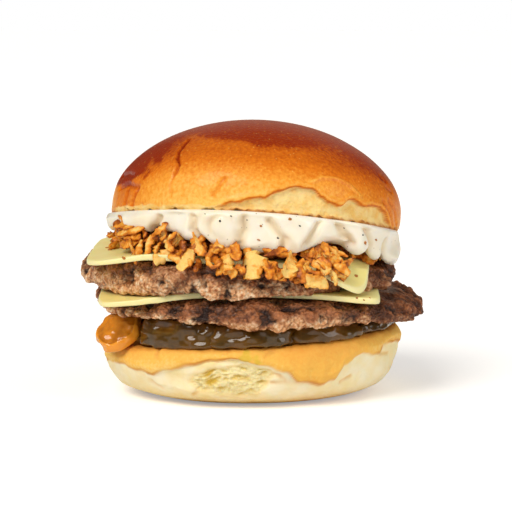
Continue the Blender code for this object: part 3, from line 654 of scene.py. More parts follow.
def heel_surface(bun):
    """The heel: its profile times an uneven radius, pale lobes set back under a fold of skin, and torn openings."""
    azimuth = turns(620)
    share, height = rounded(HEEL_PROFILE, 150)
    radius = bun.heel_radius * (1 + 0.012 * np.cos(np.radians(3 * azimuth + 40)))
    level = height * bun.heel_height + 0 * azimuth
    flat = np.stack([*round_points(azimuth, radius * share), level], axis=-1)
    side = smooth_step((share - 0.7) / 0.25)
    lumps = noise(flat, 16 * MM, 4)
    below = round_table(azimuth, HEEL_FOLD) - level + 0.5 * MM * fractal(flat, 6 * MM, 41)
    torn = smooth_step(below / (0.8 * MM))
    deep = smooth_step(below / (1.2 * MM)) * smooth_step((12 * MM - below) / (8 * MM))
    lip = groove(below + 1.5 * MM, 1.3 * MM)
    flush = 1 - 0.95 * bump(azimuth, 203, 20) - 0.7 * bump(azimuth, 348, 16)
    inward = side * (HEEL_FOLD_DEPTH * deep * flush - 0.5 * MM * lumps - 0.5 * MM * lip)
    x, y = round_points(azimuth, radius * share - inward)
    points = np.stack([x, y, height * (heel_top(bun, x) + rim_rise(x, y))], axis=-1)
    spread = 1 + 0.35 * fractal(flat, 7 * MM, 43)
    opening = sum(
        bump(azimuth, at, width * spread) * groove(level - middle, 6.4 * MM * spread)
        for at, width, middle in HEEL_OPENINGS
    )
    opened = smooth_step((opening - 0.42) / 0.22) * smooth_step((below - 0.8 * MM) / (1.5 * MM))
    strayed = azimuth + 1.3 * fractal(flat, 4 * MM, 65, 3)
    wall = bun.heel_radius
    # the creases, sunk in relief, are also painted darker as shade below, through the cream and the seam
    folds = sum(groove(near_line(strayed, level, line, wall), 0.6 * MM) for line in HEEL_CREASES) * (1 - opened)
    folds = folds * np.clip(0.75 + 1.2 * fractal(flat, 5 * MM, 67, 2), 0.2, 1.2)
    bent = flat + 2 * MM * drift(flat, 6 * MM, 150)
    strands = ridges(bent, np.array([5, 5, 2.2]) * MM, 45, 3, 0.6)
    pores = fractal(flat, 1.6 * MM, 49, 3, 0.6)
    lobes = 1 - 2 * np.abs(noise(bent, np.array([17, 17, 11]) * MM, 57))
    wrinkles = fractal(flat, np.array([3, 3, 7]) * MM, 53, 3)
    pale = torn * (1 - opened)
    relief = 0.25 * (1 - torn) * wrinkles + pale * (0.65 * lobes + 0.1 * pores + 0.15 * wrinkles)
    relief = relief + opened * (0.55 * strands + 0.2 * pores - 0.9) - 0.55 * folds
    under = smooth_step(level / (1.5 * MM))
    cut = bun.heel_height * (1 - 0.01 * fractal(flat, 3 * MM, 59)) - level
    seam = groove(cut, 0.75 * MM) * smooth_step((share - 0.86) / 0.05)
    foot = 0.7 * groove(level, 1.0 * MM) * smooth_step((share - 0.6) / 0.1)
    patchy = np.clip(0.55 + 1.3 * fractal(flat, 9 * MM, 47, 2) + 0.4 * bump(azimuth, 302, 18), 0.1, 1)
    # painted shadow under the fold of skin, in patches
    shade = groove(below - 0.3 * MM, 0.4 * MM) * side * (1 - opened) * patchy
    toast = 0.22 + 0.4 * smooth_step((level - 12 * MM) / (9 * MM)) + 0.15 * lumps + 0.5 * shade
    toast = toast + 0.3 * bump(azimuth, 298, 22) + 0.55 * bump(azimuth, 215, 7) * groove(cut - 0.6 * MM, 1.6 * MM)
    toast = toast + 0.5 * side * groove(cut, 1.0 * MM)
    at, middle = HEEL_SMEAR
    blot = bump(azimuth, at, 5) * groove(level - middle, 3 * MM) + 0.6 * noise(flat, 2 * MM, 61)
    smear = 0.75 * smooth_step((blot - 0.5) / 0.3)
    # the browning and the seam carry the fold's painted shadow, the seam and the cream the creases' painted shade, and
    # deep is painted shade between the crumb's strands
    values = {
        "toast": toast,
        "torn": pale * side * (1 - 0.75 * shade) * (1 - 0.5 * folds),
        "open": opened * side,
        "deep": opened * np.clip(0.5 - 0.6 * strands, 0, 1),
        "seam": np.maximum(np.maximum(seam * 0.5, foot), np.maximum(0.55 * shade, 0.16 * folds * side)),
        "smear": smear,
    }
    return raised(points, side * relief * under * MM), values


# the pickles

PICKLE_RING_RADIUS = 39.8 * MM
PICKLE_HALF_TURN = 19.4
PICKLE_SLOTS = 11
PICKLE_GAP_AZIMUTH = 205
PICKLE_LAYER_SHARE = 0.46
PICKLE_HANG_START = 48.2 * MM
PICKLE_HANG_SPAN = 2 * MM
PICKLE_RIM_START = 48.4 * MM
PICKLE_RIM_SPAN = 1.8 * MM
PICKLE_DROOP_START = 48 * MM
PICKLE_DROOP_PER_M = 22
LEANING_PLACE = (209, 54.0 * MM, 24.9 * MM)
LEANING_AZIMUTH = 238
LEANING_ANGLE = 44
PICKLE_PROFILE = (
    (0, 0), (0.5, 0), (0.75, 0), (0.88, 0), (0.96, 0.02), (1, 0.12), (1.005, 0.32), (0.975, 0.58), (0.93, 0.82),
    (0.88, 0.96), (0.8, 1), (0.65, 1), (0.4, 1), (0, 1),
)


def pickle_outline(angle, squareness, seed):
    """The reach of a slice's edge, 1 all round for a round slice, as a superellipse a little out of true."""
    power = 2 + squareness
    edge = (np.abs(np.cos(angle)) ** power + np.abs(np.sin(angle)) ** power) ** (-1 / power)
    return edge * (1 + 0.02 * np.cos(2 * angle + seed) + 0.015 * np.cos(5 * angle + 2 * seed))


def pickle_surface(filling, bun, slot):
    """A slice of the ring: it climbs a ramp from the heel to the beef, and its rim hangs down over the heel."""
    middle = PICKLE_GAP_AZIMUTH + slot * 360 / PICKLE_SLOTS
    radius = filling.pickle_radius - (0.8 * (slot % 3 == 1) + 0.5 * (slot % 4 == 2)) * MM
    climb = (1 - PICKLE_LAYER_SHARE) / 2
    turn = np.radians(turns(170))
    share, height = rounded(PICKLE_PROFILE, 60)
    edge = pickle_outline(turn, 5, slot) * share
    distance = PICKLE_RING_RADIUS + radius * edge * np.cos(turn)
    ahead = edge * np.sin(turn)
    hang = smooth_step((distance - PICKLE_HANG_START) / PICKLE_HANG_SPAN)
    half_turn = PICKLE_HALF_TURN + 2.4 * (slot == 1)
    x, y = round_points(middle + half_turn * ahead * (1 - 0.12 * hang), distance)
    thick = PICKLE_LAYER_SHARE + 0.56 * smooth_step((distance - PICKLE_RIM_START) / PICKLE_RIM_SPAN)
    level = climb * (ahead + 1) * (1 - hang) + thick * height
    low = heel_top(bun, x) + rim_rise(x, y) + GAP
    high = LOWER_PATTY.bottom + LOWER_PATTY.bottom_slope * x - GAP
    droop = PICKLE_DROOP_PER_M * np.clip(distance - PICKLE_DROOP_START, 0, None) ** 2
    points = np.stack([x, y, low + (high - low) * np.clip(level, 0, 1.05) - droop], axis=-1)
    outer = smooth_step((share - 0.7) / 0.15)
    folds = ridges(points, np.array([7, 7, 4]) * MM, 60 + slot)
    ripples = ridges(points, np.array([3, 3, 2]) * MM, 160 + slot)
    relief = MM * outer * (0.6 * folds + 0.12 * ripples - 0.1)
    return raised(points, relief), {"edge": 0.5 * smooth_step((share - 0.93) / 0.05) + 0 * x}


def leaning_surface():
    """The small slice that slid out: a round, lumpy disc, bulging inside its rim, leaning on the heel's shoulder."""
    radius, thickness, lean = 8.5 * MM, 3.6 * MM, math.radians(LEANING_ANGLE)
    azimuth, distance, level = LEANING_PLACE
    outward = np.array([*round_points(LEANING_AZIMUTH, 1), 0])
    across = np.array([-outward[1], outward[0], 0])
    down = outward * math.cos(lean) - np.array([0, 0, math.sin(lean)])
    face = np.cross(down, across)
    middle = np.array([*round_points(azimuth, distance), level])
    turn = np.radians(turns(150))
    share, height = rounded(PICKLE_PROFILE, 56)
    edge = radius * (1 + 0.03 * np.cos(2 * turn) + 0.02 * np.cos(5 * turn)) * share
    bulge = height * MM * (0.9 * groove(share, 0.75) - 0.35 * groove(share - 0.84, 0.07))
    rise = (height - 0.5) * thickness + bulge
    points = middle + (edge * np.cos(turn))[..., None] * down + (edge * np.sin(turn))[..., None] * across
    points = points + (rise + 0 * turn)[..., None] * face
    folds = ridges(points, 4.5 * MM, 71)
    relief = MM * (0.5 * folds * smooth_step((share - 0.05) / 0.1))
    return raised(points, relief), {"edge": smooth_step((share - 0.84) / 0.06) + 0 * turn}


# the beef

PATTY_DROOP_START = 40 * MM
PATTY_DROOP_SPAN = 18 * MM
# fibres at the right tips run outward and down
TIP_AXES = np.array([[0.93, 0, 0.37], [0, 1, 0], [-0.37, 0, 0.93]])


@dataclass
class Patty:
    """A smashed patty: two sloping faces that droop towards its rim, and an uneven round outline."""

    node: str
    centre: tuple
    radius: float
    bottom: float
    top: float
    bottom_slope: float
    top_slope: float
    bottom_droop: tuple
    top_droop: tuple
    outline: tuple
    seed: int
    sear_level: float
    charred: tuple


LOWER_PATTY = Patty(
    node="patty_lower",
    centre=(2.5 * MM, 0.5 * MM),
    radius=58.5 * MM,
    bottom=30.2 * MM,
    top=38.6 * MM,
    bottom_slope=-0.025,
    top_slope=-0.02,
    bottom_droop=(0.5 * MM, ((FRONT, 0.6 * MM, 40), (335, 0.3 * MM, 35))),
    top_droop=(1.2 * MM, ((215, 2.0 * MM, 40), (345, 3.6 * MM, 28))),
    outline=((352, 3.4 * MM, 26), (180, 1.5 * MM, 30), (300, -1.5 * MM, 20), (80, -1.5 * MM, 50)),
    seed=11,
    sear_level=0.2,
    charred=(322, 9),
)
UPPER_PATTY = Patty(
    node="patty_upper",
    centre=(-5 * MM, 0.5 * MM),
    radius=57.0 * MM,
    bottom=42.0 * MM,
    top=49.7 * MM,
    bottom_slope=-0.01,
    top_slope=-0.02,
    bottom_droop=(
        1.0 * MM, ((FRONT, 2.8 * MM, 40), (264, 1.3 * MM, 16), (222, 2.2 * MM, 32), (340, 1.6 * MM, 30))
    ),
    top_droop=(1.0 * MM, ((200, 1.4 * MM, 35), (243, -2.8 * MM, 22), (335, 4.0 * MM, 34))),
    outline=((183, 1.2 * MM, 20), (310, -1.5 * MM, 18), (345, 1.0 * MM, 20), (95, -2 * MM, 50)),
    seed=23,
    sear_level=0.5,
    charred=(310, 13),
)
PATTY_PROFILE = (
    (0, 0), (0.45, 0), (0.7, 0), (0.86, 0), (0.93, 0), (0.97, 0.02), (0.988, 0.1), (0.997, 0.26),
    (1.0, 0.45), (0.995, 0.62), (0.983, 0.78), (0.96, 0.91), (0.92, 0.98), (0.86, 1), (0.7, 1), (0.45, 1), (0, 1),
)


def patty_radius(patty, azimuth):
    """The patty's uneven outline: marked bulges and a ragged ripple."""
    place = np.stack([*round_points(azimuth, patty.radius), 0 * azimuth], axis=-1)
    return swell(azimuth, patty.radius, patty.outline) + 0.9 * MM * noise(place, 8 * MM, patty.seed)


def patty_droop(patty, x, y, marks):
    """How far a face of the patty has sunk at a point, growing as a square past where the droop starts."""
    radius, azimuth = polar(x, y, patty.centre)
    past = np.clip((radius - PATTY_DROOP_START) / PATTY_DROOP_SPAN, 0, None)
    return swell(azimuth, *marks) * past**2


def patty_bottom(patty, x, y):
    """The height of the patty's lower face."""
    return patty.bottom + patty.bottom_slope * x - patty_droop(patty, x, y, patty.bottom_droop)


def patty_top(patty, x, y):
    """The height of the patty's upper face."""
    return patty.top + patty.top_slope * x - patty_droop(patty, x, y, patty.top_droop)


def patty_surface(patty, cheese):
    """A patty: two sloping faces and a ragged rim, covered in lumps, knobs, fine crumbs as cells, and hollows."""
    azimuth = turns(1060)
    share, height = rounded(PATTY_PROFILE, 92)
    rough = np.stack([*round_points(azimuth, patty.radius + 0 * height), 9 * MM * height + 0 * azimuth], axis=-1)
    rim = smooth_step((share - 0.9) / 0.08)
    crag = noise(rough, 5.5 * MM, patty.seed + 1) - 1
    x, y = round_points(azimuth, patty_radius(patty, azimuth) * share + 0.9 * MM * crag * rim, patty.centre)
    points = np.stack([x, y, patty_bottom(patty, x, y) * (1 - height) + patty_top(patty, x, y) * height], axis=-1)
    bent = points + 0.8 * MM * drift(points, 3 * MM, patty.seed + 2, 2)
    near, second, tone = cells(bent, np.array([2.6, 2.6, 2.0]) * MM, patty.seed + 8)
    fine, fine_second, fine_tone = cells(bent, 1.2 * MM, patty.seed + 12)
    crack = 1 - smooth_step((second - near) / 0.25)
    fine_crack = 1 - smooth_step((fine_second - fine) / 0.3)
    hollow = smooth_step((noise(points, 4 * MM, patty.seed + 17) - 0.42) / 0.3)
    lumps = fractal(points, np.array([13, 13, 8]) * MM, patty.seed + 18, 2)
    knobs = fractal(points, 4.5 * MM, patty.seed + 24, 3)
    tip = bump(azimuth, 350, 24) + 0 * height
    streaks = fractal(points @ TIP_AXES, np.array([12, 3, 1.8]) * MM, patty.seed + 32, 2)
    edge = smooth_step((share - 0.72) / 0.2)
    distance, around = polar(x, y, cheese.centre)
    covered = smooth_step((cheese_outline(cheese, around) + 1.5 * MM - distance) / MM) * (height > 0.9)
    relief = 1.2 * lumps + 0.9 * knobs + 0.4 * (0.6 - near) + 0.3 * (0.5 - fine)
    relief = relief - 0.9 * hollow - 0.2 * crack + 0.8 * tip * streaks
    relief = np.where(covered > 0.5, np.minimum(relief, 0.25), relief) * edge * MM
    # painted shade in the hollows and cracks, kept off the knobs and lumps
    pit = np.clip(0.7 * hollow + 0.4 * crack + 0.25 * fine_crack - 0.4 * knobs - 0.3 * lumps - 0.1, 0, 1) * edge
    charred = bump(azimuth, *patty.charred) + 0 * height
    blend = 0.3 * tone + 0.4 * fine_tone + 0.15 * (1 + noise(points, 6 * MM, patty.seed + 30))
    # the knobs are painted lighter, as painted light
    blend = blend + 0.2 * knobs - 0.22 * tip - 0.3 * charred
    # painted shade between the fibres at the tip
    pit = np.maximum(pit, 0.75 * tip * smooth_step((-0.1 - streaks) / 0.3))
    ragged = 0.3 * noise(points, 4 * MM, patty.seed + 22)
    sear = smooth_step((height + ragged - patty.sear_level) / 0.35)
    sear = np.maximum(np.maximum(sear, tip), np.maximum(0.9 * charred, smooth_step((0.06 - height) / 0.06)))
    return raised(points, relief), {"sear": sear, "tone": blend, "pit": pit}


# the cheese

CHEESE_THICKNESS = 2.0 * MM
CHEESE_GAP = 0.55 * MM


@dataclass
class Cheese:
    """A square slice of cheese with rounded corners, laid over a patty."""

    node: str
    patty: Patty
    centre: tuple
    half_side: float
    turn: float
    corner_power: float
    fold: tuple


LOWER_CHEESE = Cheese("cheese_lower", LOWER_PATTY, (-4.5 * MM, 2.8 * MM), 49.5 * MM, 0, 12, (0.12, ()))
UPPER_CHEESE = Cheese(
    "cheese_upper", UPPER_PATTY, (-7.5 * MM, 1.0 * MM), 50 * MM, -2, 7, (0.1, ((313, 0.95, 16),))
)
CHEESE_PROFILE = (
    (0, 0), (0.5, 0), (0.8, 0), (0.95, 0), (0.988, 0), (0.997, 0.06), (1, 0.3), (1, 0.7), (0.997, 0.94),
    (0.988, 1), (0.95, 1), (0.8, 1), (0.5, 1), (0, 1),
)


def cheese_bottom(cheese, x, y):
    """The underside of a slice: on the patty's upper face, and folding down past the patty's rim."""
    patty = cheese.patty
    radius, azimuth = polar(x, y, patty.centre)
    rim = patty_radius(patty, azimuth)
    past = np.clip(radius - rim, 0, None)
    held_x, held_y = round_points(azimuth, np.minimum(radius, rim), patty.centre)
    fold = swell(azimuth, *cheese.fold) * past * smooth_step(past / (4 * MM))
    return patty_top(patty, held_x, held_y) + CHEESE_GAP - fold


def cheese_outline(cheese, azimuth):
    """The distance from a slice's centre to its edge, as a superellipse turned with the slice."""
    angle = np.radians(azimuth - cheese.turn)
    power = cheese.corner_power
    return cheese.half_side / (np.abs(np.cos(angle)) ** power + np.abs(np.sin(angle)) ** power) ** (1 / power)


def cheese_surface(cheese):
    """A slice: its outline times a profile with a rounded rim, laid on its patty with a slight wave in its top."""
    azimuth = turns(840)
    share, height = rounded(CHEESE_PROFILE, 90)
    wave = np.stack([*round_points(azimuth, 50 * MM), 0 * azimuth], axis=-1)
    reach = cheese_outline(cheese, azimuth) + 0.35 * MM * fractal(wave, 9 * MM, 81)
    x, y = round_points(azimuth, reach * share, cheese.centre)
    flat = np.stack([x, y, 0 * x], axis=-1)
    rim = smooth_step((share - 0.6) / 0.3) * height
    lift = CHEESE_THICKNESS * height + 0.25 * MM * fractal(flat, 15 * MM, 83) * rim
    # the cut edge is painted paler, as painted light
    edge = 0.7 * smooth_step((share - 0.985) / 0.012)
    return np.stack([x, y, cheese_bottom(cheese, x, y) + lift], axis=-1), {"edge": edge + 0 * azimuth}


# the fried onions

ONION_TOP = 56.3 * MM
ONION_TOP_SLOPE = -0.02
ONION_SHOULDER = 5.2 * MM
ONION_SHOULDER_AZIMUTH = 218
ONION_OUTLINE = (45.0 * MM, ((FRONT, 3.5 * MM, 45), (215, 3.0 * MM, 35), (90, -1.5 * MM, 50)))
HEAP_REACH = ((43, 60.3), (47, 60.0), (50, 58.8), (52, 56.5), (54.5, 53.5), (58, 51), (62, 49.5), (66, 48.5))
HEAP_MIDDLE_X = -3 * MM
FLAKE_STATIONS = 26
FLAKE_ROUND = 12
ONION_SEED = 5

FRONT_FLAKES = 70
# flakes that the front shows: pixels along the middle, width in pixels, brownness, how far it stands out in mm
SHOWN_FLAKES = (
    (((114, 222), (124, 228), (136, 226)), 9, 0.75, 0.5),
    (((119, 216), (126, 222), (133, 220)), 7, 0.6, 0.5),
    (((117, 236), (130, 232), (145, 228)), 9, 0.55, 1.0),
    (((124, 240), (134, 236), (142, 238)), 8, 0.7, 0.5),
    (((130, 238), (133, 250), (137, 265)), 9, 0.5, 1.0),
    (((142, 240), (139, 252), (131, 262)), 8, 0.65, 0.3),
    (((151, 234), (147, 245), (147, 256)), 9, 0.55, 1.0),
    (((152, 236), (160, 230), (168, 223)), 6, 0.6, 2.0),
    (((178, 233), (169, 238), (167, 247), (175, 251)), 7, 0.6, 1.5),
    (((192, 232), (198, 244), (206, 256)), 10, 0.5, 1.5),
    (((208, 232), (200, 241), (190, 254)), 8, 0.7, 0.8),
    (((222, 236), (218, 246), (213, 254)), 9, 0.55, 1.0),
    (((224, 248), (212, 251), (206, 261), (213, 268), (222, 262)), 6, 0.6, 1.5),
    (((194, 250), (187, 258), (182, 265), (180, 272)), 9, 0.3, 1.2),
    (((168, 256), (177, 261), (185, 268)), 8, 0.5, 0.4),
    (((229, 254), (228, 262), (227, 271)), 11, 0.35, 1.2),
    (((247, 252), (254, 265), (251, 280)), 20, 0.2, 1.4),
    (((291, 252), (287, 265), (284, 278)), 17, 0.2, 1.0),
    (((263, 257), (280, 250), (301, 246)), 7, 0.75, 1.6),
    (((262, 249), (280, 255), (298, 255)), 7, 0.7, 0.8),
    (((303, 258), (302, 271), (305, 284)), 9, 0.8, 1.2),
    (((303, 276), (315, 282), (329, 286)), 12, 0.3, 1.0),
    (((330, 268), (335, 277), (336, 286)), 6, 0.25, 0.8),
    (((317, 259), (324, 266), (331, 270)), 8, 0.7, 0.8),
    (((302, 246), (312, 240), (323, 238)), 8, 0.6, 0.8),
    (((307, 256), (318, 250), (331, 247)), 8, 0.65, 1.2),
    (((313, 237), (322, 246), (332, 257)), 7, 0.7, 1.6),
    (((333, 264), (341, 270), (349, 276)), 8, 0.6, 0.8),
    (((160, 242), (159, 249), (156, 256)), 8, 0.6, 0.2),
    (((181, 240), (183, 250), (178, 258)), 8, 0.75, 0.2),
    (((233, 240), (238, 250), (236, 262)), 9, 0.6, 0.6),
    (((262, 262), (270, 270), (268, 280)), 8, 0.6, 0.6),
    (((276, 262), (272, 272), (276, 281)), 7, 0.75, 0.6),
    (((296, 262), (294, 272), (290, 281)), 7, 0.6, 0.5),
    (((316, 242), (328, 248), (341, 256)), 7, 0.45, 1.4),
    (((331, 247), (339, 252), (348, 257)), 7, 0.5, 0.6),
    (((304, 240), (315, 236), (327, 241)), 6, 0.45, 1.0),
    (((320, 254), (333, 255), (344, 262)), 7, 0.4, 0.8),
)


def onion_top(x, y):
    """The height of the heap's top, on which the sauce lies, with a higher shoulder at the front left."""
    radius, azimuth = polar(x, y)
    shoulder = ONION_SHOULDER * bump(azimuth, ONION_SHOULDER_AZIMUTH, 34) * (radius / (45 * MM)) ** 2
    return ONION_TOP + ONION_TOP_SLOPE * (x + y) + shoulder


def onion_core():
    """The heap's middle: a lumpy disc between the upper cheese and the sauce, painted dark as shade, darker still in
    its hollows.
    """
    azimuth = turns(280)
    foot = ((0, 0), (0.5, 0), (0.88, 0), (0.98, 0.2), (1, 0.42))
    share, height = rounded(foot + ((0.97, 0.66), (0.9, 0.9), (0.8, 1), (0.4, 1), (0, 1)), 44)
    x, y = round_points(azimuth, share * swell(azimuth, *ONION_OUTLINE))
    low = cheese_bottom(UPPER_CHEESE, x, y) + CHEESE_THICKNESS + GAP
    points = np.stack([x, y, low * (1 - height) + onion_top(x, y) * height], axis=-1)
    near, second, tone = cells(points, np.array([4, 4, 2.5]) * MM, 91)
    crack = 1 - smooth_step((second - near) / 0.3)
    edge = smooth_step((share - 0.8) / 0.1) * smooth_step(height / 0.2)
    relief = MM * edge * (1.6 * (tone - 0.5) - 1.2 * crack + 0.6 * fractal(points, 2.5 * MM, 95))
    return shell(raised(points, relief), brown=0.8 + 0.3 * tone + 0.4 * crack)


def heap_face(view, pixel_x, pixel_y, out):
    """Points behind pixels on the heap's front: a round wall whose radius shrinks with height, plus out."""
    eye, aim = ray_through(view, pixel_x, pixel_y)
    depth = np.full(np.shape(pixel_x), -52 * MM)
    for _ in range(8):
        place = eye + aim * ((depth - eye[1]) / aim[..., 1])[..., None]
        reach = np.interp(place[..., 2] / MM, *np.array(HEAP_REACH).T) * MM + out
        across = place[..., 0] - HEAP_MIDDLE_X
        depth = -np.sqrt(np.maximum(reach**2 - across**2, (0.4 * reach) ** 2))
    return eye + aim * ((depth - eye[1]) / aim[..., 1])[..., None]


def smooth_path(points, count):
    """A path's corners rounded, read at evenly spaced places along its length."""
    line = np.stack([column[:, 0] for column in rounded(points, 60)], axis=-1)
    length = np.concatenate([[0], np.cumsum(np.linalg.norm(np.diff(line, axis=0), axis=1))])
    at = np.linspace(0, length[-1], count)
    return np.stack([np.interp(at, length, line[:, axis]) for axis in range(3)], axis=-1)


def flake(path, width, brown, draw):
    """A flake: a thin oval section carried along a path, curled across, twisted along and crinkled all over."""
    middle = smooth_path(path, FLAKE_STATIONS)
    along = np.gradient(middle, axis=0)
    along /= np.linalg.norm(along, axis=1, keepdims=True)
    outward = middle * [1, 1, 0] - [HEAP_MIDDLE_X, 0, -15 * MM]
    outward -= along * np.sum(outward * along, axis=1, keepdims=True)
    outward /= np.linalg.norm(outward, axis=1, keepdims=True)
    side = np.cross(along, outward)
    station = np.linspace(0, 1, FLAKE_STATIONS)[:, None]
    turn = np.radians(turns(FLAKE_ROUND))
    seed = int(draw.integers(1000))
    twist = draw.uniform(-0.6, 0.6) + draw.uniform(-1.1, 1.1) * (station - 0.5)
    flat = side * np.cos(twist) + outward * np.sin(twist)
    face = outward * np.cos(twist) - side * np.sin(twist)
    taper = (1 - (2 * np.abs(station - 0.5)) ** draw.uniform(2, 7)) ** 0.6
    left, right = (1 + 0.3 * fractal(station * [1, 0, 0] * 5 + k, 1, seed + k, 4, 0.6)[:, None] for k in (1, 2))
    across = width / 2 * taper * np.cos(turn) * np.where(np.cos(turn) > 0, left, right)
    thick = draw.uniform(0.4, 0.6) * MM * (0.3 + 0.7 * taper)
    bow, roof = draw.choice([-1, 1]) * draw.uniform(0.2, 0.8), draw.uniform(-0.3, 0.3)
    rise = thick * np.sin(turn) + bow * across**2 / width * 2 + roof * np.abs(across)
    points = middle[:, None] + across[..., None] * flat[:, None] + rise[..., None] * face[:, None]
    crumple = ridges(points, 3 * MM, seed + 3)
    points = points + (0.4 * MM * crumple)[..., None] * face[:, None]
    points = points + 0.2 * MM * np.stack([fractal(points, 1.3 * MM, seed + k, 2) for k in (4, 6, 8)], axis=-1)
    rim = np.abs(np.cos(turn)) ** 4 * 0.35 + 0.35 * (1 - taper)
    # edges browner from frying; hollows of the crumple painted darker as shade
    return shell(points, brown=brown - 0.1 + rim + 0.3 * fractal(points, 3 * MM, seed + 10, 2) - 0.15 * crumple)


def shown_flakes(view, draw):
    """The flakes whose places the front shows."""
    made = []
    for pixels, width, brown, out in SHOWN_FLAKES:
        pixel_x, pixel_y = np.array(pixels, float).T
        path = heap_face(view, pixel_x, pixel_y, out * MM)
        made.append(flake(path, width * 0.37 * MM, brown - 0.08, draw))
    return made


def front_flakes(view, draw):
    """Flakes that fill the front between the others, thickest where the heap is deepest."""
    made = []
    for _ in range(FRONT_FLAKES):
        pixel_x = draw.uniform(112, 345)
        top = np.interp(pixel_x, (112, 150, 215, 300, 345), (222, 228, 240, 244, 262))
        bottom = np.interp(pixel_x, (112, 150, 185, 240, 300, 345), (240, 258, 264, 274, 278, 276))
        pixel_y = draw.uniform(top, bottom)
        lean, length = draw.uniform(0, math.pi), draw.uniform(11, 24)
        steps = np.linspace(-0.5, 0.5, 4)
        bend = draw.uniform(-5, 5) * (4 * steps**2)
        run_x = pixel_x + length * math.cos(lean) * steps - bend * math.sin(lean)
        run_y = pixel_y + 0.8 * length * math.sin(lean) * steps + bend * math.cos(lean)
        out = draw.uniform(-2.2, 0.3)
        path = heap_face(view, run_x, run_y, out * MM)
        # flakes set deeper in the heap are painted browner as shade
        made.append(flake(path, draw.uniform(2.0, 4.0) * MM, draw.uniform(0.2, 0.6) - 0.16 * out, draw))
    return made


def side_flakes(draw):
    """Flakes round the sides and back: they lie on the cheese and stick out from under the sauce."""
    made = []
    for index in range(84):
        azimuth = 322 + 236 * (index + draw.random()) / 84
        start = float(swell(azimuth, *ONION_OUTLINE)) - draw.uniform(1, 5) * MM
        steps = np.linspace(0, 1, 4)
        reach = start + draw.uniform(4, 9) * MM * steps
        turn = azimuth + draw.uniform(-9, 9) * steps
        x, y = round_points(turn, reach)
        floor = cheese_bottom(UPPER_CHEESE, x, y) + CHEESE_THICKNESS + 0.9 * MM
        room = np.maximum(sauce_lip(turn) - floor, 0.5 * MM)
        lift = draw.uniform(0, 0.8) * room * (1 - 0.5 * steps)
        path = np.stack([x, y, floor + lift], axis=-1)
        made.append(flake(path, draw.uniform(1.8, 3.8) * MM, draw.uniform(0.25, 0.75), draw))
    return made


# the sauce

SAUCE_TOP_GAP = 0.15 * MM
SAUCE_OUTLINE = (
    (0, 52.5 * MM), (40, 50.5 * MM), (90, 50 * MM), (140, 50.5 * MM), (180, 52.5 * MM), (205, 51.6 * MM),
    (235, 52.2 * MM), (255, 54 * MM), (272, 53.4 * MM), (285, 55 * MM), (300, 53 * MM), (315, 55 * MM),
    (330, 53.4 * MM), (345, 54 * MM),
)
SAUCE_LIP = (
    (0, 47 * MM), (30, 54.5 * MM), (90, 54.5 * MM), (150, 55 * MM), (180, 58.5 * MM), (205, 62 * MM),
    (235, 61.5 * MM), (255, 57 * MM), (272, 54.8 * MM), (290, 55 * MM), (302, 58 * MM), (316, 53.2 * MM),
    (332, 49.5 * MM), (348, 45.9 * MM),
)
SAUCE_PROFILE = (
    (0, 0, 0), (0.4, 0, 0), (0.84, 0, 0), (0.9, 0, 0.6), (0.95, 0, 1), (0.99, 0.15, 0.85), (1.0, 0.48, 0.52),
    (1.004, 0.84, 0.16), (1.0, 0.95, 0.05), (0.985, 1, 0), (0.95, 1, 0), (0.65, 1, 0), (0.35, 1, 0), (0, 1, 0),
)
SWIRL = (259, 64.0 * MM)
SAUCE_CREASES = (
    ((290, 58 * MM), (295, 64 * MM), (300, 70 * MM)),
    ((306, 50 * MM), (308.5, 57 * MM), (303, 65 * MM)),
    ((319, 47 * MM), (321.5, 56 * MM), (316, 63 * MM)),
    ((331, 47 * MM), (333, 56 * MM)),
    ((268, 69 * MM), (267.5, 63 * MM), (264, 57 * MM)),
    ((247.5, 67 * MM), (247, 63 * MM), (251, 59 * MM)),
    ((232, 66 * MM), (229, 62 * MM)),
    ((280, 54 * MM), (282, 60 * MM), (277, 66 * MM)),
    ((60, 55 * MM), (64, 62 * MM)),
    ((105, 54 * MM), (100, 62 * MM)),
    ((150, 55 * MM), (155, 64 * MM)),
)


def sauce_lip(azimuth):
    """The height of the sauce's lowest hanging edge."""
    return round_table(azimuth, SAUCE_LIP)


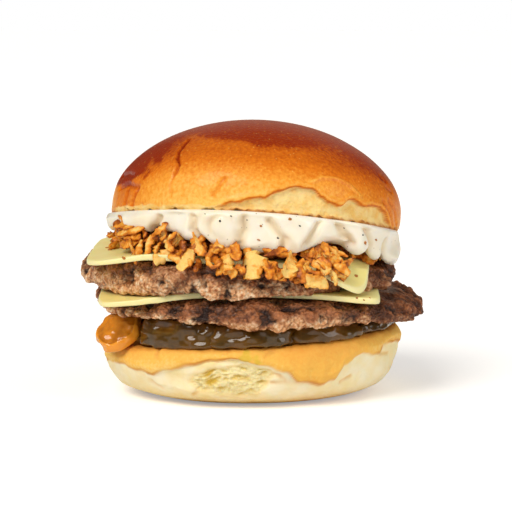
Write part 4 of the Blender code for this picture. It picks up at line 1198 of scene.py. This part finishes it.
def sauce_surface():
    """The sauce: heap top, hanging lip and crown cut blended by a profile, with folds, creases and one dollop."""
    azimuth = turns(720)
    share, top_weight, lip_weight = rounded(SAUCE_PROFILE, 130)
    x, y = round_points(azimuth, share * round_table(azimuth, SAUCE_OUTLINE))
    inner = onion_top(x, y) + GAP
    height = (crown_cut(x, y) - SAUCE_TOP_GAP) * top_weight + sauce_lip(azimuth) * lip_weight
    points = np.stack([x, y, height + inner * (1 - top_weight - lip_weight)], axis=-1)
    free = smooth_step((share - 0.86) / 0.1) * smooth_step((crown_cut(x, y) - points[..., 2] - 0.4 * MM) / (2 * MM))
    warp = points + 3 * MM * drift(points, 11 * MM, 100)
    folds = 1 - 2 * np.abs(noise(warp, np.array([15, 15, 9]) * MM, 104))
    lumps = fractal(warp, 9 * MM, 107, 2)
    strayed = azimuth + 1.5 * fractal(points, 7 * MM, 109, 2)
    creases = sum(groove(near_line(strayed, points[..., 2], line, 52 * MM), 1.4 * MM) for line in SAUCE_CREASES)
    azimuth_0, level_0 = SWIRL
    along = np.radians((azimuth - azimuth_0 + 180) % 360 - 180) * 50 * MM
    up = points[..., 2] - level_0
    away = np.hypot(along, up)
    turned = np.degrees(np.arctan2(up, along))
    ring = groove(away - 8.5 * MM, 1.1 * MM) * bump(turned, 240, 90)
    curl = groove(away - 3.8 * MM, 0.9 * MM) * bump(turned, 150, 80)
    blob = 1.9 * groove(away, 7 * MM) - 1.5 * ring - 1.0 * curl
    relief = MM * free * (1.3 * folds + 0.9 * lumps + blob - 2.2 * creases - 0.5)
    # painted shade in the creases, the swirl's grooves and the troughs of the folds
    crease = np.clip(creases + 0.8 * ring + 0.7 * curl + 0.3 * smooth_step((-0.2 - folds) / 0.6), 0, 1)
    return raised(points, relief), {"crease": 0.6 * crease * free}


# the crown

CROWN_SHIFT = 0.8 * MM
CROWN_CUT = 63.9 * MM
CROWN_BACK_TILT = 0.105
CROWN_RIGHT_TILT = 0.062
CROWN_RIGHT_LEAN = 0.125
CROWN_SAG = 2.8 * MM
CROWN_EDGE = 5.0 * MM
CROWN_FOLD_DEPTH = 1.6 * MM
CROWN_FOLD = (
    (250, 0), (262, 2.5 * MM), (268, 4 * MM), (272.5, 5.1 * MM), (278, 7.2 * MM), (284.8, 9.8 * MM), (291, 9.3 * MM),
    (295.3, 7.2 * MM), (299.5, 5.5 * MM), (303.5, 5.2 * MM), (309, 7.3 * MM), (317.4, 6.4 * MM), (325, 6.7 * MM),
    (330, 5.6 * MM), (334, 3 * MM), (339, 0.3 * MM), (346, 0),
)
CAP_EDGE = (
    (204, 20.6 * MM), (211, 25.5 * MM), (225, 27.4 * MM), (239, 25.8 * MM), (256, 24.1 * MM), (269, 23.0 * MM),
    (282, 22.9 * MM), (296, 24.2 * MM), (316, 25.1 * MM), (325, 22.5 * MM), (333, 21.0 * MM), (350, 20 * MM),
    (380, 21 * MM), (420, 22 * MM), (470, 20 * MM), (510, 21 * MM), (550, 17 * MM),
)
CAP_SOFTNESS = (
    (225, 4 * MM), (262, 2.6 * MM), (290, 3.4 * MM), (315, 7 * MM), (340, 9 * MM), (380, 8 * MM), (470, 5 * MM),
)
LONG_WRINKLE = ((229.6, 24.1 * MM), (230.8, 19.6 * MM), (234.3, 15.2 * MM), (235.2, 11.6 * MM), (236, 3.9 * MM))
FLAP_EDGE = ((290.5, 11.5 * MM), (296, 13.6 * MM), (303, 13.8 * MM), (309, 12.2 * MM), (314, 9.0 * MM))
SHORT_CREASE = ((257.3, 10.7 * MM), (254.1, 4.7 * MM))
LEFT_FOLDS = (
    ((196, 8.2 * MM), (205.6, 9.4 * MM), (216.5, 7.8 * MM)),
    ((217, 7.6 * MM), (214.5, 3.5 * MM), (213, 1.0 * MM)),
    ((208, 7.2 * MM), (206.5, 3.5 * MM), (206, 1.0 * MM)),
    ((186, 13 * MM), (197, 13.5 * MM), (207, 12.5 * MM)),
)
SHOULDER_EDGE = ((9, 213), (14, 217), (20, 219), (26, 221))
RIGHT_FOLDS = (
    ((339, 12.6 * MM), (334, 13.8 * MM)),
    ((337, 15.8 * MM), (332, 17 * MM)),
    ((329, 8.6 * MM), (335, 5.2 * MM), (341, 0.8 * MM)),
    ((334, 9.4 * MM), (341, 6 * MM), (347, 1.5 * MM)),
)


def crown_cut(x, y):
    """The height of the crown's cut face: tipped back and to the right, and sagging at both sides."""
    sag = CROWN_SAG * (x / bpy.context.scene.burger_bun.crown_radius) ** 2
    return CROWN_CUT - CROWN_BACK_TILT * y - CROWN_RIGHT_TILT * x - sag


def crown_profile(bun):
    """(radius share, height share) pairs: flat cut face, a round lower edge, and a dome as a quarter circle."""
    foot = [(0, 0), (0.35, 0), (0.65, 0), (0.92, 0), (0.975, 0), (0.99, 0.006), (0.998, 0.03), (1, 0.08)]
    edge = CROWN_EDGE / bun.crown_rise
    climb = np.sin(np.linspace(0, math.pi / 2, 16))
    dome = np.column_stack([np.sqrt(np.clip(1 - climb**2, 0, 1)), edge + (1 - edge) * climb])
    return np.concatenate([foot, dome])


def crown_surface(bun):
    """The crown: a dome sheared back and right, a torn band under a fold, creases, and a browned cap."""
    azimuth = turns(560)
    share, height = rounded(crown_profile(bun), 160)
    rise = height * bun.crown_rise + 0 * azimuth
    radius = swell(azimuth, bun.crown_radius, ((200, -0.6 * MM, 30),))
    side = smooth_step((share - 0.8) / 0.15)
    flat = np.stack([*round_points(azimuth, radius * share), rise], axis=-1)
    lumps = 0.6 * MM * noise(flat, 18 * MM, 31) * smooth_step(rise / (3 * MM))
    ragged = 0.5 * MM * fractal(flat, 4 * MM, 121)
    above = rise - round_table(azimuth, CROWN_FOLD) + ragged * (round_table(azimuth, CROWN_FOLD) > 0.5 * MM)
    torn = smooth_step(-above / (0.7 * MM))
    lip = groove(above - 0.9 * MM, 1.0 * MM) * smooth_step(round_table(azimuth, CROWN_FOLD) / (3 * MM))
    inward = side * (CROWN_FOLD_DEPTH * torn * smooth_step(rise / (1.5 * MM)) - 0.5 * MM * lip)
    x, y = round_points(azimuth, radius * share - inward + lumps * side, (CROWN_SHIFT, 0))
    lower_edge = groove(rise, 0.9 * MM) * smooth_step((share - 0.95) / 0.03)
    fringe = MM * (0.9 * fractal(flat, 1.6 * MM, 139) - 0.3) * lower_edge
    level = crown_cut(x, y) + rise + fringe
    points = np.stack([x + CROWN_RIGHT_LEAN * rise, y + CROWN_BACK_TILT * rise, level], axis=-1)
    wall = 50 * MM
    turned = azimuth + 0 * rise
    strayed = turned + 1.3 * fractal(flat, 5 * MM, 143, 2)
    fading = 0.25 + 0.75 * smooth_step((rise - 9 * MM) / (5 * MM))
    long_wrinkle = fading * groove(near_line(strayed, rise, LONG_WRINKLE, wall), 0.5 * MM)
    ridge = fading * groove(near_line(strayed + 1.5, rise, LONG_WRINKLE, wall), 0.8 * MM)
    crease = groove(near_line(strayed, rise, SHORT_CREASE, wall), 0.7 * MM)
    folds = sum(groove(near_line(strayed, rise, line, wall), 0.9 * MM) for line in LEFT_FOLDS)
    folds = folds + 0.6 * sum(groove(near_line(turned, rise, line, wall), 0.7 * MM) for line in RIGHT_FOLDS)
    dent = groove(near_line(turned, rise, ((350, 23.6 * MM), (350.5, 24 * MM)), wall), 5 * MM)
    puckers = fractal(flat, np.array([5, 5, 9]) * MM, 127, 3) * smooth_step((16 * MM - rise) / (9 * MM))
    pores = fractal(flat, 1.8 * MM, 131, 2)
    flap = groove(near_line(strayed, rise, FLAP_EDGE, wall), 0.4 * MM)
    relief = 0.5 * ridge + 0.55 * flap - 1.1 * long_wrinkle - 0.6 * crease - 1.1 * folds - 0.9 * dent
    relief = relief + 0.18 * puckers * (1 - torn) + 0.3 * pores * torn
    outer = smooth_step((share - 0.9) / 0.06) + smooth_step((rise - 4 * MM) / MM)
    relief = relief * np.clip(outer, 0, 1) * MM
    cap = round_table(azimuth, CAP_EDGE) + 1.3 * MM * fractal(flat, 9 * MM, 135)
    capped = smooth_step((rise - cap) / round_table(azimuth, CAP_SOFTNESS) + 0.5)
    shoulder = np.interp(rise / MM, *np.array(SHOULDER_EDGE).T) + 12 * fractal(flat, 7 * MM, 141, 4)
    patch = smooth_step((shoulder - azimuth) / 14 + 0.5) * smooth_step((azimuth - 160) / 15)
    patch = patch * smooth_step((rise - 8 * MM) / (3 * MM)) * (0.88 + 0.3 * fractal(flat, 5 * MM, 149, 3))
    climb = 0.05 + 0.2 * np.clip((rise - 3 * MM) / (10 * MM), 0, 1) + 0.42 * smooth_step((rise - 10 * MM) / (11 * MM))
    # browner on the right above the fold: painted shade on the side away from the key light
    right = 0.3 * bump(azimuth, 336, 36) * smooth_step(above / (1.5 * MM))
    # painted shadow under the fold of skin: it browns the crust colour and takes the crumb colour away
    shade = groove(above + 0.2 * MM, 0.42 * MM) * smooth_step(round_table(azimuth, CROWN_FOLD) / (3 * MM)) * side
    toast = np.maximum(climb + right + (1 - climb - right) * capped, 0.95 * patch) + 0.6 * shade
    # the flap's edge is painted paler as a highlight; the long wrinkle, short crease and folds are painted darker as
    # shade
    toast = toast - 0.16 * flap + 0.5 * long_wrinkle + 0.2 * crease + 0.25 * folds
    toast = toast + 0.42 * bump(azimuth, 206, 19) * (1 - capped)
    rim = smooth_step((share - 0.93) / 0.04)
    left = smooth_step((262 - azimuth) / 8) * smooth_step((azimuth - 190) / 10)
    seam = groove(rise - 0.3 * MM + 0.3 * ragged, 0.5 * MM) * rim * (0.8 - 0.65 * left)
    fluff = smooth_step((1.8 * MM + 1.8 * ragged - rise) / (0.5 * MM)) * rim * left
    torn = np.maximum(torn * side * (1 - 0.85 * shade), 0.9 * fluff)
    return raised(points, relief), {"toast": toast, "torn": torn, "seam": seam}


# crumbs and specks

PEPPER_PIXELS = ((278, 238), (363, 235), (247, 220), (231, 216), (344, 228), (220, 221), (300, 226), (205, 214))
ORANGE_CRUMB_PIXELS = ((261, 226), (365, 243), (376, 240), (259, 240), (290, 219))
CHEESE_CRUMB_PIXELS = ((107, 248), (113, 245), (110, 250), (124, 258), (356, 276))
MEAT_CRUMB_PIXELS = ((370, 298), (364, 300), (357, 298))


def chip(place, normal, size, draw):
    """A chip pressed into a surface: a small ball flattened along the normal and roughened."""
    azimuth = turns(10)
    polar_angle = np.linspace(-math.pi / 2, math.pi / 2, 8)[:, None]
    ball = np.stack(
        [
            np.cos(polar_angle) * np.cos(np.radians(azimuth)),
            np.cos(polar_angle) * np.sin(np.radians(azimuth)),
            np.sin(polar_angle) + 0 * azimuth,
        ],
        axis=-1,
    )
    ball = ball * (1 + 0.5 * noise(ball + draw.uniform(0, 50), 0.7, 7))[..., None] * [1, draw.uniform(0.4, 0.9), 1]
    first = np.cross(normal, [0.3, 0.2, 0.9])
    first /= np.linalg.norm(first)
    axes = np.stack([first, np.cross(normal, first), np.asarray(normal) * 0.6])
    return shell(place + size / 2 * ball @ axes)


# what the user sets


class BurgerBun(bpy.types.PropertyGroup):
    """The bun's sizes"""

    heel_radius: bpy.props.FloatProperty(
        name="Heel radius", description="Half the width of the bottom bun", default=53.5 * MM, unit="LENGTH"
    )
    heel_height: bpy.props.FloatProperty(
        name="Heel height", description="Height of the bottom bun's cut face", default=21 * MM, unit="LENGTH"
    )
    crown_radius: bpy.props.FloatProperty(
        name="Crown radius", description="Half the width of the top bun", default=52.6 * MM, unit="LENGTH"
    )
    crown_rise: bpy.props.FloatProperty(
        name="Crown rise", description="Height of the top bun over its cut face", default=34 * MM, unit="LENGTH"
    )


class BurgerFilling(bpy.types.PropertyGroup):
    """The filling's sizes"""

    pickle_radius: bpy.props.FloatProperty(
        name="Pickle radius", description="Half the width of a pickle slice", default=13.2 * MM, unit="LENGTH"
    )
    speck_size: bpy.props.FloatProperty(
        name="Pepper size", description="Width of a pepper speck on the sauce", default=0.8 * MM, unit="LENGTH"
    )


def colour_setting(name, description, hex_colour):
    """A colour property whose default is an sRGB hex value."""
    return bpy.props.FloatVectorProperty(
        name=name, description=description, subtype="COLOR", size=3, min=0, max=1, default=linear(hex_colour)
    )


class BurgerColours(bpy.types.PropertyGroup):
    """The colours of every finish"""

    crust_dark: colour_setting("Crust, darkest", "The mahogany cap of the crown", "#982F02")
    crust_brown: colour_setting("Crust, brown", "The cap's edge", "#C05806")
    crust_orange: colour_setting("Crust, orange", "The crown's upper side", "#DE7612")
    crust_gold: colour_setting("Crust, gold", "The crown's lower side", "#F29E34")
    crust_pale: colour_setting("Crust, pale", "The crown's lowest skin", "#F8C25E")
    crust_seam: colour_setting("Crust seam", "The toasted line along the crown's cut", "#A85410")
    crumb: colour_setting("Crumb", "Torn bread at the crown's edge", "#F8DA92")
    crumb_deep: colour_setting("Crumb, deep", "The pores of the torn bread", "#F0BE62")
    heel_pale: colour_setting("Heel, pale", "The heel's palest skin", "#F9D98C")
    heel_gold: colour_setting("Heel, gold", "The heel's golden skin", "#F5BD54")
    heel_toast: colour_setting("Heel, toasted", "The heel's brownest skin", "#F2A844")
    # the seam colour also paints the shadow along the heel's fold and in its creases
    heel_seam: colour_setting("Heel seam", "The toasted line along the heel's cut", "#B8661E")
    heel_crumb: colour_setting("Heel crumb", "The heel's open crumb", "#F6E6AE")
    # painted shade between the open crumb's strands
    heel_crumb_deep: colour_setting("Heel crumb, deep", "The pores of the heel's crumb", "#DDB646")
    heel_cream: colour_setting("Heel, cream", "The heel's smooth unbrowned skin", "#FBEECB")
    heel_cream_deep: colour_setting("Heel, deep cream", "The warmer patches of that skin", "#F8E0A2")
    heel_drip: colour_setting("Heel drip", "The drip of yellow sauce on the heel", "#DDB93C")
    beef_pale: colour_setting("Beef, pale", "The lightest crumbs of beef", "#FFDCB4")
    beef_tan: colour_setting("Beef, tan", "The usual crumbs of beef", "#E6A872")
    beef_brown: colour_setting("Beef, brown", "The darker crumbs of beef", "#A45F30")
    beef_sear: colour_setting("Beef, seared", "The griddled faces", "#C07848")
    beef_char: colour_setting("Beef, charred", "The darkest of the griddled faces", "#683618")
    beef_crack: colour_setting("Beef, cracks", "Between the crumbs", "#2C1409")
    cheese: colour_setting("Cheese", "The slices", "#FBEE9E")
    cheese_deep: colour_setting("Cheese, deep", "The slices' deeper clouds", "#F3E08A")
    # painted light on the cut edge
    cheese_edge: colour_setting("Cheese edge", "The slices' cut edge", "#F5E9B0")
    pickle_light: colour_setting("Pickle, light", "The slices' lighter flesh", "#74470E")
    pickle_deep: colour_setting("Pickle, deep", "The slices' darker flesh", "#3C2506")
    pickle_skin: colour_setting("Pickle skin", "The slices' rim", "#5A4216")
    amber_light: colour_setting("Amber, light", "The leaning slice's lighter flesh", "#E08C22")
    amber_deep: colour_setting("Amber, deep", "The leaning slice's darker flesh", "#AE6410")
    amber_rim: colour_setting("Amber, rim", "The leaning slice's rim", "#EE9A2A")
    onion_straw: colour_setting("Onion, straw", "The palest faces of the flakes", "#FCCF74")
    onion_gold: colour_setting("Onion, gold", "The flakes' body", "#F29E2E")
    onion_brown: colour_setting("Onion, brown", "The flakes' edges", "#D07418")
    onion_dark: colour_setting("Onion, dark", "The flakes' darkest blisters", "#8A420E")
    sauce: colour_setting("Sauce", "The cream sauce", "#FBF3E4")
    sauce_deep: colour_setting("Sauce, deep", "The sauce's warmer clouds", "#F7E9CE")
    # painted shade in the sauce's creases
    sauce_fold: colour_setting("Sauce, folds", "Where the sauce folds on itself", "#E6CC9A")
    spice: colour_setting("Spice", "The fine specks in the sauce", "#8A6A3C")
    pepper: colour_setting("Pepper", "The coarse specks on the sauce", "#2E2018")
    orange_crumb: colour_setting("Orange crumb", "Crumbs of fried onion on the sauce", "#C87A28")
    floor: colour_setting("Floor", "The plain floor", "#F8F7F5")


class BurgerView(bpy.types.PropertyGroup):
    """The camera"""

    distance: bpy.props.FloatProperty(
        name="Distance", description="From the camera to the burger's middle", default=0.8, unit="LENGTH"
    )
    elevation: bpy.props.FloatProperty(
        name="Elevation", description="Camera's angle above level", default=math.radians(6), unit="ROTATION"
    )
    lens: bpy.props.FloatProperty(name="Lens", description="Focal length in millimetres", default=154)


# what the operators do


def soft_box(name, place, size, power, colour):
    """A square studio light that points at the burger's middle and isn't seen itself."""
    lamp = bpy.data.lights.new(name, "AREA")
    lamp.shape = "SQUARE"
    lamp.size = size
    lamp.energy = power
    lamp.color = colour
    made = bpy.data.objects.new(name, lamp)
    made.location = place
    made.rotation_euler = (Vector(AIM) - Vector(place)).to_track_quat("-Z", "Y").to_euler()
    made.visible_camera = False
    bpy.context.scene.collection.objects.link(made)


class BURGER_OT_stage(bpy.types.Operator):
    """Sets up the camera, the soft studio light and a plain pale floor"""

    bl_idname = "burger.stage"
    bl_label = "Stage"

    def execute(self, context):
        scene, view = context.scene, context.scene.burger_view
        eye, _, _, forward = camera_axes(view)
        lens = bpy.data.cameras.new("front camera")
        lens.lens = view.lens
        lens.sensor_width = SENSOR / MM
        camera = bpy.data.objects.new("front camera", lens)
        camera.location = eye
        camera.rotation_euler = Vector(forward).to_track_quat("-Z", "Y").to_euler()
        scene.collection.objects.link(camera)
        scene.camera = camera
        scene.view_settings.view_transform = "Standard"
        sun = bpy.data.lights.new("key from the front left", "SUN")
        sun.energy = 2.15
        sun.angle = math.radians(36)
        sun.color = linear("#FFFCF6")
        key = bpy.data.objects.new("key from the front left", sun)
        key.rotation_euler = Vector((0.42, 0.6, -0.68)).to_track_quat("-Z", "Y").to_euler()
        scene.collection.objects.link(key)
        soft_box("box behind the top", (0.1, 0.95, 0.36), 0.6, 0.6, (1, 0.78, 0.6))
        soft_box("fill from the right", (0.8, -0.45, 0.35), 0.5, 2.2, (1, 1, 1))
        world = bpy.data.worlds.new("white surroundings")
        world.use_nodes = True
        tree = world.node_tree
        tree.nodes.clear()
        rays = add_node(tree, "LightPath")
        # wet things mirror the dim room round the set, not the white backdrop
        room = add_node(tree, "MapRange", {
            "Value": rays["Is Glossy Ray"], "To Min": 0.37, "To Max": 0.07,
        })["Result"]
        strength = add_node(tree, "MapRange", {"Value": rays["Is Camera Ray"], "To Min": room, "To Max": 1.0})
        surroundings = add_node(tree, "Background", {"Color": (1, 1, 1, 1), "Strength": strength["Result"]})
        add_node(tree, "OutputWorld", {"Surface": surroundings["Background"]})
        scene.world = world
        mesh = bpy.data.meshes.new("floor")
        mesh.from_pydata([(-60, -60, 0), (60, -60, 0), (60, 60, 0), (-60, 60, 0)], [], [(0, 1, 2, 3)])
        mesh.materials.append(light_table(scene.burger_colours))
        floor = bpy.data.objects.new("floor", mesh)
        floor.location.z = -0.0002
        scene.collection.objects.link(floor)
        return {"FINISHED"}


class BURGER_OT_heel(bpy.types.Operator):
    """Bakes the bottom bun"""

    bl_idname = "burger.heel"
    bl_label = "Heel"

    def execute(self, context):
        points, values = heel_surface(context.scene.burger_bun)
        add_piece("bottom_bun", [shell(points, **values)], brioche_heel(context.scene.burger_colours), "heel")
        return {"FINISHED"}


class BURGER_OT_pickles(bpy.types.Operator):
    """Lays the ring of pickle slices and the one that slid out"""

    bl_idname = "burger.pickles"
    bl_label = "Pickles"

    def execute(self, context):
        scene, colours = context.scene, context.scene.burger_colours
        dark = pickled_cucumber(
            "dark pickled cucumber", colours.pickle_deep, colours.pickle_light, colours.pickle_skin
        )
        amber = pickled_cucumber(
            "amber pickled cucumber", colours.amber_deep, colours.amber_light, colours.amber_rim
        )
        points, values = leaning_surface()
        add_piece("leaning_pickle_slice", [shell(points, **values)], amber, "pickle_0")
        for slot in range(1, PICKLE_SLOTS):
            points, values = pickle_surface(scene.burger_filling, scene.burger_bun, slot)
            add_piece(f"pickle_slice_{slot}", [shell(points, **values)], dark, f"pickle_{slot}")
        return {"FINISHED"}


class BURGER_OT_patties(bpy.types.Operator):
    """Presses the two beef patties"""

    bl_idname = "burger.patties"
    bl_label = "Patties"

    def execute(self, context):
        beef = seared_beef(context.scene.burger_colours)
        for name, cheese in (("lower_patty", LOWER_CHEESE), ("upper_patty", UPPER_CHEESE)):
            points, values = patty_surface(cheese.patty, cheese)
            add_piece(name, [shell(points, **values)], beef, cheese.patty.node)
        return {"FINISHED"}


class BURGER_OT_cheese(bpy.types.Operator):
    """Lays a slice of cheese on each patty"""

    bl_idname = "burger.cheese"
    bl_label = "Cheese"

    def execute(self, context):
        finish = sliced_cheese(context.scene.burger_colours)
        for name, cheese in (("lower_cheese_slice", LOWER_CHEESE), ("upper_cheese_slice", UPPER_CHEESE)):
            points, values = cheese_surface(cheese)
            add_piece(name, [shell(points, **values)], finish, cheese.node)
        return {"FINISHED"}


class BURGER_OT_onions(bpy.types.Operator):
    """Heaps the fried onions"""

    bl_idname = "burger.onions"
    bl_label = "Fried onions"

    def execute(self, context):
        view = context.scene.burger_view
        draw = np.random.default_rng(ONION_SEED)
        shells = [onion_core()] + shown_flakes(view, draw) + front_flakes(view, draw) + side_flakes(draw)
        add_piece("fried_onions", shells, fried_onion(context.scene.burger_colours), "onion_heap")
        return {"FINISHED"}


class BURGER_OT_sauce(bpy.types.Operator):
    """Squeezes the sauce over the onions"""

    bl_idname = "burger.sauce"
    bl_label = "Sauce"

    def execute(self, context):
        points, values = sauce_surface()
        add_piece("cream_sauce", [shell(points, **values)], cream_sauce(context.scene.burger_colours), "sauce")
        return {"FINISHED"}


class BURGER_OT_crown(bpy.types.Operator):
    """Bakes the top bun"""

    bl_idname = "burger.crown"
    bl_label = "Crown"

    def execute(self, context):
        points, values = crown_surface(context.scene.burger_bun)
        add_piece("top_bun", [shell(points, **values)], brioche_crust(context.scene.burger_colours), "crown")
        return {"FINISHED"}


class BURGER_OT_specks(bpy.types.Operator):
    """Scatters pepper and crumbs on the sauce and the cheese"""

    bl_idname = "burger.specks"
    bl_label = "Pepper and crumbs"

    def execute(self, context):
        scene, colours = context.scene, context.scene.burger_colours
        draw = np.random.default_rng(7)
        size = scene.burger_filling.speck_size
        for name, carrier, pixels, colour, scale in (
            ("pepper_specks", "cream_sauce", PEPPER_PIXELS, colours.pepper, 1.0),
            ("onion_crumbs", "cream_sauce", ORANGE_CRUMB_PIXELS, colours.orange_crumb, 1.8),
            ("cheese_crumbs", "upper_cheese_slice", CHEESE_CRUMB_PIXELS, colours.orange_crumb, 2.2),
            ("meat_crumbs", "lower_cheese_slice", MEAT_CRUMB_PIXELS, colours.orange_crumb, 1.0),
        ):
            chips = []
            tree = surface_tree(bpy.data.objects[carrier])
            for pixel_x, pixel_y in pixels:
                place, normal = seen_on(tree, scene.burger_view, pixel_x, pixel_y)
                chips.append(chip(place, normal, scale * size * draw.uniform(0.7, 1.3), draw))
            piece = add_piece(name, chips, plain_finish(name, colour, 0.5))
        return {"FINISHED"}


OPERATORS = (
    BURGER_OT_stage,
    BURGER_OT_heel,
    BURGER_OT_pickles,
    BURGER_OT_patties,
    BURGER_OT_cheese,
    BURGER_OT_onions,
    BURGER_OT_crown,
    BURGER_OT_sauce,
    BURGER_OT_specks,
)


class BURGER_PT_panel(bpy.types.Panel):
    """Lists the burger's pieces"""

    bl_idname = "BURGER_PT_panel"
    bl_label = "Double cheeseburger"
    bl_space_type = "VIEW_3D"
    bl_region_type = "UI"
    bl_category = "Burger"

    def draw(self, context):
        column = self.layout.column()
        for operator in OPERATORS:
            column.operator(operator.bl_idname)
        for group in (context.scene.burger_bun, context.scene.burger_filling, context.scene.burger_view):
            for name in group.__annotations__:
                column.prop(group, name)
        for name in context.scene.burger_colours.__annotations__:
            column.prop(context.scene.burger_colours, name)


GROUPS = {
    "burger_bun": BurgerBun,
    "burger_filling": BurgerFilling,
    "burger_colours": BurgerColours,
    "burger_view": BurgerView,
}


def register():
    """Registers the settings, operators and panel."""
    for made in (*GROUPS.values(), *OPERATORS, BURGER_PT_panel):
        bpy.utils.register_class(made)
    for name, group in GROUPS.items():
        setattr(bpy.types.Scene, name, bpy.props.PointerProperty(type=group))


def unregister():
    """Removes what register adds."""
    for name in GROUPS:
        delattr(bpy.types.Scene, name)
    for made in (BURGER_PT_panel, *reversed(OPERATORS), *GROUPS.values()):
        bpy.utils.unregister_class(made)


def main():
    """Makes every piece in order."""
    register()
    bpy.ops.burger.stage()
    bpy.ops.burger.heel()
    bpy.ops.burger.pickles()
    bpy.ops.burger.patties()
    bpy.ops.burger.cheese()
    bpy.ops.burger.onions()
    bpy.ops.burger.crown()
    bpy.ops.burger.sauce()
    bpy.ops.burger.specks()


if __name__ == "__main__":
    main()
